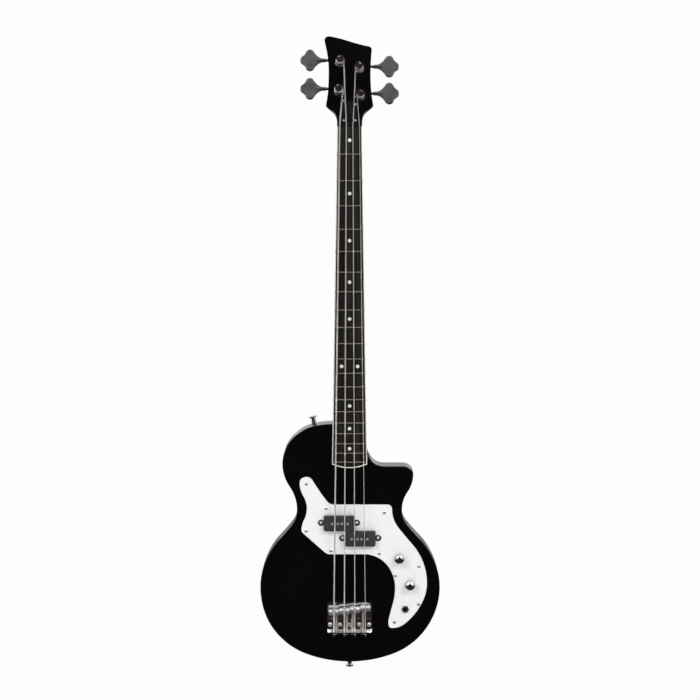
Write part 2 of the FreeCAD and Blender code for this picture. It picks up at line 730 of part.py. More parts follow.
def head_direction(local):
    return HEAD_FRAME.Rotation.multVec(local)


def cover_screw_seats():
    outward = head_direction(Vector(0, -1, 0))
    return [(head_point(x, COVER_THICKNESS, t), outward) for x, t in cover_places()]


def truss_rod_cover():
    corner = 2.5
    slope = math.degrees(math.atan2(COVER_RIGHT_TOP - COVER_LEFT_TOP, 2 * COVER_HALF_WIDTH)) + 180
    plate = prism(outline([
        (-COVER_HALF_WIDTH + corner, COVER_BOTTOM, 0),
        (COVER_HALF_WIDTH - corner, COVER_BOTTOM, 0),
        (COVER_HALF_WIDTH, COVER_BOTTOM + corner, 90),
        (COVER_HALF_WIDTH, COVER_RIGHT_TOP - corner, 90),
        (COVER_HALF_WIDTH - corner, COVER_RIGHT_TOP + corner * 0.4, slope),
        (-COVER_HALF_WIDTH + corner, COVER_LEFT_TOP - corner * 0.4, slope),
        (-COVER_HALF_WIDTH, COVER_LEFT_TOP - corner, 270),
        (-COVER_HALF_WIDTH, COVER_BOTTOM + corner, 270),
    ]), -COVER_THICKNESS, 0)
    holes = []
    for x, t in cover_places():
        holes.append(rod(COVER_SCREW[2] + SNUG, Vector(x, -COVER_THICKNESS - 1, t), Y_AXIS, COVER_THICKNESS + 2))
    return on_headstock(plate.cut(holes))


def string_nut():
    """Slotted nut on the neck above the fingerboard's end."""
    top = FRET_TOP - NUT_ACTION - NUT_SHOULDER
    blank = box(-NUT_HALF_WIDTH, NUT_HALF_WIDTH, top, FINGERBOARD_UNDER, NUT_LINE, NUT_LINE + NUT_LENGTH)
    axis = Vector(0, top + FINGERBOARD_RADIUS, NUT_LINE - 1)
    blank = blank.common(rod(FINGERBOARD_RADIUS, axis, Z_AXIS, NUT_LENGTH + 2))
    slots = []
    for index in range(4):
        slots.append(string_slot(index, 2, OPEN_GAP, SNUG, 2 * NUT_LENGTH))
    return blank.cut(slots)


# Strings
def saddle_z(index):
    return SADDLE_LINE + SADDLE_STAGGER[index]


def string_corners(index):
    """Ball, saddle, nut and post tangent points of one string's axis."""
    radius = STRING_RADII[index]
    bridge_x = STRING_X_AT_BRIDGE[index]
    nut_x = STRING_X_AT_NUT[index]
    ball = Vector(bridge_x, STRING_HOLE_Y, BRIDGE_TAIL_Z - BALL_RADIUS)
    saddle_y = FRET_TOP + crown(bridge_x) - SADDLE_ACTION - radius
    saddle = Vector(bridge_x, saddle_y, saddle_z(index))
    nut_point = Vector(nut_x, FRET_TOP + crown(nut_x) - NUT_ACTION - radius, NUT_LINE + NUT_LENGTH / 3)
    local = HEAD_FRAME.inverse().multVec(nut_point)
    post_x, post_t = POST_PLACES[STRING_NAMES[index]]
    reach = POST_WAIST_RADIUS + POST_STRING_GAP + radius
    gap = Vector(post_x - local.x, 0, post_t - local.z)
    inner = 1 if post_x < 0 else -1
    turn = math.atan2(gap.z, gap.x) - inner * math.asin(reach / gap.Length)
    way = Vector(math.cos(turn), 0, math.sin(turn))
    touch = Vector(local.x, local.y, local.z) + way * math.sqrt(gap.Length ** 2 - reach ** 2)
    return [ball, saddle, nut_point, HEAD_FRAME.multVec(touch)]


def string_slot(index, corner, side_gap, floor_gap, reach):
    """Open square slot along a string, on both sides of one of its bends."""
    before, here, after = string_corners(index)[corner - 1:corner + 2]
    radius = STRING_RADII[index]
    half_width = radius + side_gap
    drop = Vector(0, radius + floor_gap, 0)
    low = here + (before - here).normalize() * reach + drop
    high = here + (after - here).normalize() * reach + drop
    middle = here + drop
    top = here.y - reach
    points = [low, middle, high, Vector(0, top, high.z), Vector(0, top, low.z), low]
    flat = [Vector(here.x - half_width, point.y, point.z) for point in points]
    return Part.Face(Part.makePolygon(flat)).extrude(Vector(2 * half_width, 0, 0))


def string_wire(index):
    """One string from its ball end over saddle and nut to the post, and part of a turn round it."""
    corners = string_corners(index)
    radius = STRING_RADII[index]
    name = STRING_NAMES[index]
    post_x, post_t = POST_PLACES[name]
    local = HEAD_FRAME.inverse().multVec(corners[3])
    sense = 1 if post_x < 0 else -1
    first = math.atan2(local.z - post_t, local.x - post_x)
    reach = math.hypot(local.z - post_t, local.x - post_x)
    edges = []
    start = corners[0]
    for before, corner, after in zip(corners, corners[1:], corners[2:]):
        into = (corner - before).normalize()
        out = (after - corner).normalize()
        half_turn = into.getAngle(out) / 2
        cut = STRING_BEND_RADIUS * math.tan(half_turn)
        middle = corner + (out - into).normalize() * (STRING_BEND_RADIUS / math.cos(half_turn) - STRING_BEND_RADIUS)
        edges.append(Part.LineSegment(start, corner - into * cut).toShape())
        edges.append(Part.Arc(corner - into * cut, middle, corner + out * cut).toShape())
        start = corner + out * cut
    edges.append(Part.LineSegment(start, corners[3]).toShape())
    wrap = math.radians(POST_WRAP_DEGREES)
    for half in range(2):
        points = []
        for part in (0.0, 0.5, 1.0):
            turn = first + sense * wrap * (half + part) / 2
            points.append(Vector(post_x + reach * math.cos(turn), local.y, post_t + reach * math.sin(turn)))
        points = [HEAD_FRAME.multVec(point) for point in points]
        points[0] = edges[-1].Vertexes[-1].Point if half == 0 else points[0]
        edges.append(Part.Arc(*points).toShape())
    print("string", name, "length", round(sum(edge.Length for edge in edges), 1))
    return sweep(edges, corners[0], corners[1] - corners[0], radius)


def string_winding(index):
    """Turns of string that ride on the post above the fixed turn."""
    name = STRING_NAMES[index]
    radius = STRING_RADII[index]
    post_x, post_t = POST_PLACES[name]
    local = HEAD_FRAME.inverse().multVec(string_corners(index)[3])
    pitch = 2 * radius + WINDING_GAP
    start_y = local.y - pitch
    sense = 1 if post_x < 0 else -1
    reach = POST_WAIST_RADIUS + SNUG + radius

    def place(r, turn, height):
        point = Vector(post_x + r * math.cos(turn), start_y - height, post_t + r * math.sin(turn))
        return HEAD_FRAME.multVec(point)

    edges = coil_edges(place, reach, pitch, WINDING_TURNS, math.pi / 2, sense)
    gap = least_coil_gap(place, reach, pitch, WINDING_TURNS, math.pi / 2, sense, radius)
    print("winding", name, "least gap", round(gap, 2))
    direction = edges[0].tangentAt(edges[0].FirstParameter)
    return sweep(edges, place(reach, math.pi / 2, 0), direction, radius)


def ball_end(index):
    ball = string_corners(index)[0]
    radius = STRING_RADII[index]
    start = Vector(ball.x - BALL_LENGTH / 2, ball.y, BRIDGE_TAIL_Z - BALL_RADIUS)
    drum = rod(BALL_RADIUS, start, X_AXIS, BALL_LENGTH)
    corners = string_corners(index)
    way = (corners[1] - corners[0]).normalize()
    return drum.cut(rod(radius + SNUG, corners[0] - way * (2 * BALL_RADIUS), way, 4 * BALL_RADIUS))


# Tuning machines
def tuner_side(name):
    return 1 if POST_PLACES[name][0] > 0 else -1


def gear():
    """Gear on the post with slanted tooth spaces, turning about Y at its middle."""
    root = MESH_DISTANCE - WORM_TIP_RADIUS - MESH_GAP
    tip = MESH_DISTANCE - WORM_CORE_RADIUS - MESH_GAP
    blank = rod(tip, Vector(0, -GEAR_WIDTH / 2, 0), Y_AXIS, GEAR_WIDTH)
    lead = math.atan(WORM_PITCH / (2 * math.pi * WORM_PITCH_RADIUS))
    low_half = WORM_THREAD_TIP / 2 + MESH_SIDE_GAP
    high_half = WORM_THREAD_ROOT / 2 + MESH_SIDE_GAP + 0.1
    reach = GEAR_WIDTH
    space = Part.Face(Part.makePolygon([
        Vector(-low_half, -reach, root), Vector(low_half, -reach, root),
        Vector(high_half, -reach, tip + 0.4), Vector(-high_half, -reach, tip + 0.4), Vector(-low_half, -reach, root),
    ])).extrude(Vector(0, 2 * reach, 0))
    space.rotate(Vector(0, 0, 0), Z_AXIS, -math.degrees(lead))
    spaces = []
    for tooth in range(GEAR_TEETH):
        turned = space.copy()
        turned.rotate(Vector(0, 0, 0), Y_AXIS, 360 * tooth / GEAR_TEETH)
        spaces.append(turned)
    return blank.cut(spaces)


def worm():
    """Threaded part of the key's shaft along X, its thread crossing the lowest line at X = 0."""
    length = WORM_PITCH * WORM_TURNS
    helix = Part.makeHelix(WORM_PITCH, length, WORM_PITCH_RADIUS)
    half_root = WORM_THREAD_ROOT / 2
    half_tip = WORM_THREAD_TIP / 2
    inside = WORM_CORE_RADIUS - 0.2
    profile = Part.makePolygon([
        Vector(inside, 0, -half_root), Vector(WORM_TIP_RADIUS, 0, -half_tip),
        Vector(WORM_TIP_RADIUS, 0, half_tip), Vector(inside, 0, half_root), Vector(inside, 0, -half_root),
    ])
    thread = Part.Wire(helix.Edges).makePipeShell([profile], True, True)
    core = rod(WORM_CORE_RADIUS, Vector(0, 0, -WORM_PITCH), Z_AXIS, length + 2 * WORM_PITCH)
    shaft = core.fuse(thread)
    shaft.translate(Vector(0, 0, -length / 2))
    shaft.rotate(Vector(0, 0, 0), Y_AXIS, 90)
    return shaft


def key_button():
    """Clover-leaf button in the XZ plane, its stem end at X = 0."""
    side_x, side_z = BUTTON_SIDE_LOBE
    end_x = BUTTON_LENGTH - BUTTON_LOBE_RADIUS
    lower_half = [(0, -KEY_SLEEVE_RADIUS, 270, 345)]
    for x, z, heading in ((side_x, -side_z, 300), (side_x, -side_z, 360), (side_x, -side_z, 430), (end_x, 0, 390)):
        place = Vector(x, 0, z) + ahead(heading - 90) * BUTTON_LOBE_RADIUS
        lower_half.append((place.x, place.z, heading))
    upper_half = [(x, -z, 540 - heading) for x, z, heading in reversed(lower_half[1:])]
    stem = (0, KEY_SLEEVE_RADIUS, 195, 270)
    half = BUTTON_THICKNESS / 2
    knots = lower_half + [(BUTTON_LENGTH, 0, 90)] + upper_half + [stem]
    plate = prism(outline(knots), -half, half)
    return plate.makeFillet(BUTTON_ROUND, edges_at(plate, -half) + edges_at(plate, half))


def tuner_key(name):
    """Key with its shaft, worm and button, drawn for the right side and mirrored for the left."""
    x, t = POST_PLACES[name]
    distance = abs(x)
    axis = Vector(0, GEAR_MID, t + MESH_DISTANCE)
    thread = worm()
    thread.translate(axis + Vector(distance, 0, 0))
    end = distance + EAR_OFFSET + EAR_THICKNESS + OPEN_GAP
    inner = distance - EAR_OFFSET - EAR_THICKNESS
    pieces = [
        rod(WORM_CORE_RADIUS, axis + Vector(inner, 0, 0), X_AXIS, end - inner),
        rod(KEY_SHAFT_RADIUS, axis + Vector(end, 0, 0), X_AXIS, KEY_SLEEVE_START - end),
        rod(KEY_SLEEVE_RADIUS, axis + Vector(KEY_SLEEVE_START, 0, 0), X_AXIS,
            BUTTON_START + KEY_SLEEVE_INTO_BUTTON - KEY_SLEEVE_START),
    ]
    button = key_button()
    button.translate(axis + Vector(BUTTON_START, 0, 0))
    key = thread.fuse(pieces + [button]).removeSplitter()
    if tuner_side(name) < 0:
        key = key.mirror(Vector(0, 0, 0), X_AXIS)
    return on_headstock(key)


def tuner_post(name):
    """Slotted string post with its gear behind the headstock."""
    x, t = POST_PLACES[name]
    mirror = tuner_side(name) < 0
    low = GEAR_MID + GEAR_WIDTH / 2 + 1
    post = rod(POST_RADIUS, Vector(0, -POST_WAIST_START, 0), Y_AXIS, POST_WAIST_START + HEADSTOCK_THICKNESS)
    waist = rod(POST_WAIST_RADIUS, Vector(0, -POST_WAIST_END, 0), Y_AXIS, POST_WAIST_END - POST_WAIST_START)
    flange = rod(POST_FLANGE_RADIUS, Vector(0, -POST_TOP, 0), Y_AXIS, POST_TOP - POST_WAIST_END)
    tail = rod(POST_TAIL_RADIUS, Vector(0, HEADSTOCK_THICKNESS, 0), Y_AXIS, low - HEADSTOCK_THICKNESS)
    wheel = gear()
    wheel.translate(Vector(0, GEAR_MID, 0))
    whole = post.fuse([waist, flange, tail, wheel]).removeSplitter()
    reach = POST_FLANGE_RADIUS + 1
    slot = box(-POST_SLOT_WIDTH / 2, POST_SLOT_WIDTH / 2, -POST_TOP - 1, -POST_TOP + POST_SLOT_DEPTH, -reach, reach)
    well = rod(POST_SLOT_WIDTH / 2 + 0.3, Vector(0, -POST_TOP - 1, 0), Y_AXIS, POST_SLOT_DEPTH + 4)
    slot.rotate(Vector(0, 0, 0), Y_AXIS, 25)
    whole = whole.cut([slot, well])
    if mirror:
        whole = whole.mirror(Vector(0, 0, 0), X_AXIS)
    whole.translate(Vector(x, 0, t))
    return on_headstock(whole)


def tuner_bushing(name):
    """Threaded bushing through the headstock with its washer and hex head on the front."""
    x, t = POST_PLACES[name]
    sleeve = rod(BUSHING_RADIUS, Vector(x, 0, t), Y_AXIS, HEADSTOCK_THICKNESS - OPEN_GAP)
    washer = rod(WASHER_RADIUS, Vector(x, -WASHER_THICKNESS, t), Y_AXIS, WASHER_THICKNESS)
    nut = hexagon(HEX_ACROSS_FLATS, Vector(x, -WASHER_THICKNESS, t), HEX_HEIGHT)
    bore = rod(POST_RADIUS + RUNNING, Vector(x, -POST_TOP, t), Y_AXIS, POST_TOP + HEADSTOCK_THICKNESS)
    return on_headstock(sleeve.fuse([washer, nut]).cut(bore))


def tuner_baseplate(name):
    """Plate on the headstock's back with two ears that carry the worm."""
    x, t = POST_PLACES[name]
    back = HEADSTOCK_THICKNESS + BASEPLATE_THICKNESS
    middle = t + (BASEPLATE_ABOVE - BASEPLATE_BELOW) / 2
    plate = rounded_box(x, middle, 2 * BASEPLATE_HALF_WIDTH, BASEPLATE_ABOVE + BASEPLATE_BELOW, 3.0,
                        HEADSTOCK_THICKNESS, back)
    axis_t = t + MESH_DISTANCE
    ears = []
    for side in (-1, 1):
        inner = x + side * EAR_OFFSET
        ears.append(box(inner - EAR_THICKNESS / 2, inner + EAR_THICKNESS / 2, back,
                        GEAR_MID + EAR_HALF_WIDTH, axis_t - EAR_HALF_WIDTH, axis_t + EAR_HALF_WIDTH))
    cuts = [
        rod(POST_TAIL_RADIUS + RUNNING, Vector(x, 0, t), Y_AXIS, 2 * back),
        rod(WORM_CORE_RADIUS + RUNNING, Vector(x - 2 * EAR_OFFSET, GEAR_MID, axis_t), X_AXIS, 4 * EAR_OFFSET),
    ]
    for side in (-1, 1):
        seat = Vector(x + side * TUNER_SCREW_X, 0, t - TUNER_SCREW_DROP)
        cuts.append(rod(TUNER_SCREW[2] + SNUG, seat, Y_AXIS, 2 * back))
    return on_headstock(plate.fuse(ears).removeSplitter().cut(cuts))


def tuner_screw_seats():
    outward = head_direction(Y_AXIS)
    seats = []
    for x, t in POST_PLACES.values():
        for side in (-1, 1):
            depth = HEADSTOCK_THICKNESS + BASEPLATE_THICKNESS
            seats.append((head_point(x + side * TUNER_SCREW_X, -depth, t - TUNER_SCREW_DROP), outward))
    return seats


# Body
def body_outline():
    right_z = BODY_TOP_Z - HEEL_CORNER
    side = math.degrees(math.atan2(right_z - CUTAWAY_NECK_Z,
                                   neck_half_width(right_z) - neck_half_width(CUTAWAY_NECK_Z)))
    return outline([
        (neck_half_width(right_z) - HEEL_CORNER, BODY_TOP_Z, 180),
        (-neck_half_width(BODY_TOP_Z), BODY_TOP_Z, 180),
        (-SHOULDER_X, SHOULDER_Z, 227),
        (-UPPER_BOUT_LEFT, UPPER_BOUT_Z, 270),
        (-WAIST_LEFT, WAIST_Z, 270),
        (-WAIST_LEFT - FLARE_LEFT, WAIST_Z - FLARE_DROP, 226.6),
        (-LOWER_BOUT_LEFT, LOWER_BOUT_Z, 270),
        (-LOWER_TURN_X, LOWER_TURN_Z, 305),
        (0, 0, 0),
        (LOWER_TURN_X, LOWER_TURN_Z, 55),
        (LOWER_BOUT_RIGHT, LOWER_BOUT_Z, 90),
        (WAIST_RIGHT + FLARE_RIGHT, WAIST_Z - FLARE_DROP, 133.7),
        (WAIST_RIGHT, WAIST_Z, 90),
        (HORN_REACH, HORN_Z, 90),
        (HORN_TOP_X, CUTAWAY_Z, 180),
        (CUTAWAY_DIP_X, CUTAWAY_Z, 180),
        (neck_half_width(CUTAWAY_NECK_Z), CUTAWAY_NECK_Z, side),
        (neck_half_width(right_z), right_z, side),
    ])


def neck_pocket():
    return prism(heel_outline(BODY_TOP_Z + HEEL_CORNER), FINGERBOARD_TOP, POCKET_FLOOR)


def neck_screw_seats():
    seats = []
    for z in (NECK_SCREW_LOW_Z, NECK_SCREW_HIGH_Z):
        for x in (-NECK_SCREW_X, NECK_SCREW_X):
            seats.append(Vector(x, BACK - FERRULE_DEPTH + FERRULE_FLOOR, z))
    return seats


def pickup_cavity():
    room = 4.0
    upper = rounded_box(-PICKUP_OFFSET_X, PICKUP_UPPER_Z, PICKUP_LENGTH + 2 * PICKUP_EAR_RADIUS + 3 * room,
                        PICKUP_WIDTH + room, 4.0, FRONT, FRONT + PICKUP_CAVITY_DEPTH)
    lower = rounded_box(PICKUP_OFFSET_X, PICKUP_LOWER_Z, PICKUP_LENGTH + 2 * PICKUP_EAR_RADIUS + 3 * room,
                        PICKUP_WIDTH + room, 4.0, FRONT, FRONT + PICKUP_CAVITY_DEPTH)
    return upper.fuse(lower)


def control_cavity():
    """Rout under the pickguard for the controls, with a channel to the pickup."""
    reach = POT_RADIUS + CONTROL_CAVITY_MARGIN
    floor = FRONT + CONTROL_CAVITY_DEPTH
    rooms = []
    for x, z in (VOLUME_PLACE, TONE_PLACE, JACK_PLACE):
        rooms.append(rod(reach, Vector(x, FRONT, z), Y_AXIS, floor - FRONT))
    for (x0, z0), (x1, z1) in ((VOLUME_PLACE, TONE_PLACE), (TONE_PLACE, JACK_PLACE)):
        way = Vector(x1 - x0, 0, z1 - z0)
        side = Vector(-way.z, 0, way.x).normalize() * (reach - 2)
        start = Vector(x0, 0, z0)
        end = Vector(x1, 0, z1)
        rooms.append(prism(Part.makePolygon([start + side, end + side, end - side, start - side, start + side]),
                           FRONT, floor))
    channel = box(PICKUP_OFFSET_X + PICKUP_EAR_X, VOLUME_PLACE[0], FRONT, FRONT + WIRE_CHANNEL_DEPTH,
                  VOLUME_PLACE[1] + POT_RADIUS, PICKUP_LOWER_Z)
    return rooms[0].fuse(rooms[1:] + [channel])


def body_part():
    whole = prism(body_outline(), FRONT, BACK)
    whole = whole.makeFillet(BACK_ROUND, edges_at(whole, BACK))
    whole = whole.makeFillet(FRONT_ROUND, edges_at(whole, FRONT))
    cuts = [neck_pocket(), pickup_cavity(), control_cavity()]
    for x, z in GUARD_SCREW_PLACES:
        cuts.append(screw_hole(GUARD_SCREW, Vector(x, GUARD_FRONT, z), Y_AXIS * -1))
    for seat in bridge_screw_seats():
        cuts.append(screw_hole(BRIDGE_SCREW, seat, Y_AXIS * -1))
    for seat in pickup_screw_seats():
        cuts.append(screw_hole(PICKUP_SCREW, seat, Y_AXIS * -1))
    for seat in neck_screw_seats():
        cuts.append(rod(NECK_SCREW[2] + SNUG, Vector(seat.x, POCKET_FLOOR - 1, seat.z), Y_AXIS, BODY_DEPTH))
        cuts.append(rod(FERRULE_RADIUS + SNUG, Vector(seat.x, BACK - FERRULE_DEPTH, seat.z), Y_AXIS, BODY_DEPTH))
    for seat, outward in strap_seats():
        cuts.append(screw_hole(STRAP_SCREW, seat, outward))
    return whole.cut(cuts)


def neck_ferrule(seat):
    """Cup in the back that a neck screw's head sits in."""
    floor = Vector(seat.x, BACK - FERRULE_DEPTH, seat.z)
    cup = rod(FERRULE_RADIUS, floor, Y_AXIS, FERRULE_DEPTH)
    bowl = rod(NECK_SCREW[0] + OPEN_GAP, seat, Y_AXIS, FERRULE_DEPTH)
    return cup.cut([bowl, rod(NECK_SCREW[2] + SNUG, floor - Y_AXIS, Y_AXIS, FERRULE_DEPTH)])


def strap_seats():
    """Seat and outward direction of the two strap buttons."""
    wire = body_outline()
    ray = Part.LineSegment(Vector(SHOULDER_STRAP_X, 0, UPPER_BOUT_Z), Vector(SHOULDER_STRAP_X, 0, BODY_TOP_Z + 9)).toShape()
    _, pairs, _ = wire.distToShape(ray)
    seat = pairs[0][0]
    near = min(wire.Edges, key=lambda edge: edge.distToShape(Part.Vertex(seat))[0])
    tangent = near.tangentAt(near.Curve.parameter(seat))
    outward = Vector(-tangent.z, 0, tangent.x)
    if outward.z < 0:
        outward = outward * -1
    return [(Vector(0, 0, 0), Z_AXIS * -1), (seat, outward)]


def strap_button(seat, outward):
    """Turned button with a waisted neck, bored for its screw."""
    waist = STRAP_HEIGHT - STRAP_FLANGE_THICKNESS - STRAP_BASE_THICKNESS
    foot = rod(STRAP_BASE_RADIUS, seat, outward, STRAP_BASE_THICKNESS)
    neck_part = Part.makeCone(STRAP_BASE_RADIUS * 0.85, STRAP_NECK_RADIUS, waist,
                              seat + outward * STRAP_BASE_THICKNESS, outward)
    flange = rod(STRAP_FLANGE_RADIUS, seat + outward * (STRAP_HEIGHT - STRAP_FLANGE_THICKNESS), outward,
                 STRAP_FLANGE_THICKNESS)
    whole = foot.fuse([neck_part, flange]).removeSplitter()
    top = STRAP_HEIGHT - STRAP_SCREW[1]
    cuts = [
        rod(STRAP_SCREW[2] + SNUG, seat - outward, outward, STRAP_HEIGHT + 2),
        rod(STRAP_SCREW[0] + SNUG, seat + outward * top, outward, STRAP_HEIGHT),
    ]
    return whole.cut(cuts)


def strap_screw(seat, outward):
    size = (STRAP_SCREW[0], STRAP_SCREW[1], STRAP_SCREW[2], STRAP_SCREW[3] + STRAP_HEIGHT - STRAP_SCREW[1] - 1)
    return screw(size, seat + outward * (STRAP_HEIGHT - STRAP_SCREW[1]), outward)


# Bridge
def bridge_screw_seats():
    return [Vector(BRIDGE_SCREW_PITCH * (i - 2), BRIDGE_FACE, BRIDGE_SCREW_Z) for i in range(5)]


def intonation_x(index):
    """The length screw stands beside its string, towards the bridge's middle."""
    x = STRING_X_AT_BRIDGE[index]
    return x + INTONATION_OFFSET * (1 if x < 0 else -1)


def bridge_plate():
    """Bent plate with an upright lip, five grooves and its holes."""
    lip_top = FRONT - BRIDGE_LIP_HEIGHT
    base = box(-BRIDGE_HALF_WIDTH, BRIDGE_HALF_WIDTH, BRIDGE_FACE, FRONT, BRIDGE_TAIL_Z, BRIDGE_FRONT_Z)
    lip = box(-BRIDGE_HALF_WIDTH, BRIDGE_HALF_WIDTH, lip_top, BRIDGE_FACE, BRIDGE_TAIL_Z,
              BRIDGE_TAIL_Z + BRIDGE_THICKNESS)
    whole = base.fuse(lip).removeSplitter()
    corner = [edge for edge in whole.Edges if abs(edge.CenterOfMass.y - FRONT) < 1e-6 and
              abs(edge.CenterOfMass.z - BRIDGE_TAIL_Z) < 1e-6]
    whole = whole.makeFillet(BRIDGE_THICKNESS * 0.9, corner)
    cuts = []
    for seat in bridge_screw_seats():
        cuts.append(rod(BRIDGE_SCREW[2] + SNUG, seat - Y_AXIS * 2, Y_AXIS, 2 * BRIDGE_THICKNESS + 2))
        cuts.append(stadium(BRIDGE_GROOVE_HALF_WIDTH, seat.x * 0.99, BRIDGE_GROOVE_LOW_Z, BRIDGE_GROOVE_HIGH_Z,
                            BRIDGE_FACE - 1, BRIDGE_FACE + BRIDGE_GROOVE_DEPTH))
    for index in range(4):
        corners = string_corners(index)
        way = (corners[1] - corners[0]).normalize()
        cuts.append(rod(STRING_RADII[index] + OPEN_GAP, corners[0], way, 12))
        start = Vector(intonation_x(index), SCREW_LINE_Y, BRIDGE_TAIL_Z - 1)
        cuts.append(rod(INTONATION_RADIUS + RUNNING, start, Z_AXIS, BRIDGE_THICKNESS + 2))
    return whole.cut(cuts)


def saddle_top(index):
    """Depth of the saddle's crest, under its string."""
    x = STRING_X_AT_BRIDGE[index]
    return FRET_TOP + crown(x) - SADDLE_ACTION - SADDLE_GROOVE_DEPTH


def saddle(index):
    """Block saddle with a crowned top, a string groove and holes for its screws."""
    x = STRING_X_AT_BRIDGE[index]
    z = saddle_z(index)
    top = saddle_top(index)
    bottom = top + SADDLE_HEIGHT
    half = SADDLE_LENGTH / 2
    drop = SADDLE_CROWN - math.sqrt(SADDLE_CROWN ** 2 - half ** 2)
    left = x - SADDLE_WIDTH / 2
    points = [Vector(left, top + drop, z - half), Vector(left, top, z), Vector(left, top + drop, z + half)]
    profile = Part.Wire([
        Part.Arc(*points).toShape(),
        Part.LineSegment(points[2], Vector(left, bottom, z + half)).toShape(),
        Part.LineSegment(Vector(left, bottom, z + half), Vector(left, bottom, z - half)).toShape(),
        Part.LineSegment(Vector(left, bottom, z - half), points[0]).toShape(),
    ])
    block = Part.Face(profile).extrude(Vector(SADDLE_WIDTH, 0, 0))
    cuts = [string_slot(index, 1, OPEN_GAP, OPEN_GAP, 2 * SADDLE_LENGTH)]
    screw_start = Vector(intonation_x(index), SCREW_LINE_Y, z - SADDLE_LENGTH)
    cuts.append(rod(INTONATION_RADIUS + RUNNING, screw_start, Z_AXIS, 2 * SADDLE_LENGTH))
    for side in (-1, 1):
        start = Vector(x + side * HEIGHT_SCREW_OFFSET, top - 1, z)
        cuts.append(rod(HEIGHT_SCREW_RADIUS + SNUG, start, Y_AXIS, SADDLE_HEIGHT + 2))
    return block.cut(cuts)


def height_screws(index):
    """Two grub screws that stand on the plate and carry the saddle."""
    x = STRING_X_AT_BRIDGE[index]
    z = saddle_z(index)
    foot = BRIDGE_FACE - SNUG
    top = saddle_top(index) + 0.8
    screws = []
    for side in (-1, 1):
        place = x + side * HEIGHT_SCREW_OFFSET
        tip = rod(HEIGHT_SCREW_TIP, Vector(place, foot - 1.2, z), Y_AXIS, 1.2)
        shank = rod(HEIGHT_SCREW_RADIUS, Vector(place, top, z), Y_AXIS, foot - 1.2 - top)
        screws.append(shank.fuse(tip).removeSplitter())
    return screws


def intonation_screw(index):
    x = intonation_x(index)
    length = saddle_z(index) + SADDLE_LENGTH / 2 + INTONATION_PAST_SADDLE - BRIDGE_TAIL_Z
    start = Vector(x, SCREW_LINE_Y, BRIDGE_TAIL_Z - SNUG)
    head = rod(INTONATION_HEAD_RADIUS, start - Z_AXIS * INTONATION_HEAD_LENGTH, Z_AXIS, INTONATION_HEAD_LENGTH)
    slot = box(x - 4, x + 4, SCREW_LINE_Y - 0.4, SCREW_LINE_Y + 0.4,
               start.z - INTONATION_HEAD_LENGTH - 1, start.z - INTONATION_HEAD_LENGTH + 1)
    return head.fuse(rod(INTONATION_RADIUS, start, Z_AXIS, length)).removeSplitter().cut(slot)


def intonation_spring(index):
    """Compression spring round the length screw, between the lip and the saddle."""
    low = BRIDGE_TAIL_Z + BRIDGE_THICKNESS + SPRING_WIRE_RADIUS + SPRING_END_GAP
    high = saddle_z(index) - SADDLE_LENGTH / 2 - SPRING_WIRE_RADIUS - SPRING_END_GAP
    pitch = (high - low) / SPRING_TURNS
    x = intonation_x(index)

    def place(r, turn, height):
        return Vector(x + r * math.cos(turn), SCREW_LINE_Y + r * math.sin(turn), low + height)

    edges = coil_edges(place, SPRING_RADIUS, pitch, SPRING_TURNS, 0, 1)
    gap = least_coil_gap(place, SPRING_RADIUS, pitch, SPRING_TURNS, 0, 1, SPRING_WIRE_RADIUS)
    print("spring", STRING_NAMES[index], "least gap", round(gap, 2))
    direction = edges[0].tangentAt(edges[0].FirstParameter)
    return sweep(edges, place(SPRING_RADIUS, 0, 0), direction, SPRING_WIRE_RADIUS)


# Pickguard, pickup and controls
def guard_wire():
    return outline([
        (-77.0, 343.9, 180), (-89.8, 333.4, 270), (-77.0, 285.6, 270), (-87.0, 246.4, 268),
        (-82.8, 239.6, 318), (-46.6, 207.0, 318), (-36.0, 201.9, 0), (26.0, 201.9, 0),
        (68.0, 181.6, 308), (82.4, 139.0, 270), (71.2, 81.6, 256), (77.6, 64.2, 0),
        (118.6, 91.0, 52), (140.2, 148.0, 90), (111.0, 223.0, 132), (76.4, 285.0, 90),
        (68.2, 293.4, 180), (-28.6, 293.4, 180), (-40.0, 298.6, 128), (-66.2, 337.2, 121),
    ])


def pickup_halves():
    return ((-PICKUP_OFFSET_X, PICKUP_UPPER_Z), (PICKUP_OFFSET_X, PICKUP_LOWER_Z))


def pickup_top():
    """Depth of the pickup covers' tops, under the strings."""
    run = (NUT_LINE - (PICKUP_UPPER_Z + PICKUP_LOWER_Z) / 2) / SCALE_LENGTH
    return FRET_TOP - NUT_ACTION - (SADDLE_ACTION - NUT_ACTION) * run + PICKUP_TOP_GAP


def pickguard():
    plate = prism(guard_wire(), GUARD_FRONT, FRONT)
    plate = plate.makeChamfer(GUARD_BEVEL, edges_at(plate, GUARD_FRONT))
    over = GUARD_FRONT - 1
    through = GUARD_THICKNESS + 2
    cuts = []
    for x, z in GUARD_SCREW_PLACES:
        cuts.append(rod(GUARD_SCREW[2] + SNUG, Vector(x, over, z), Y_AXIS, through))
    for x, z in pickup_halves():
        cuts.append(rounded_box(x, z, PICKUP_LENGTH + 2 * OPEN_GAP, PICKUP_WIDTH + 0.2, PICKUP_CORNER, over, FRONT + 1))
        for side in (-1, 1):
            cuts.append(rod(PICKUP_EAR_RADIUS + OPEN_GAP, Vector(x + side * PICKUP_EAR_X, over, z), Y_AXIS, through))
    for x, z in (VOLUME_PLACE, TONE_PLACE):
        cuts.append(rod(POT_BUSHING_RADIUS + SNUG, Vector(x, over, z), Y_AXIS, through))
    jack = Vector(JACK_PLACE[0], over, JACK_PLACE[1])
    cuts.append(rod(JACK_BARREL_RADIUS + SNUG, jack, Y_AXIS, through))
    return plate.cut(cuts)


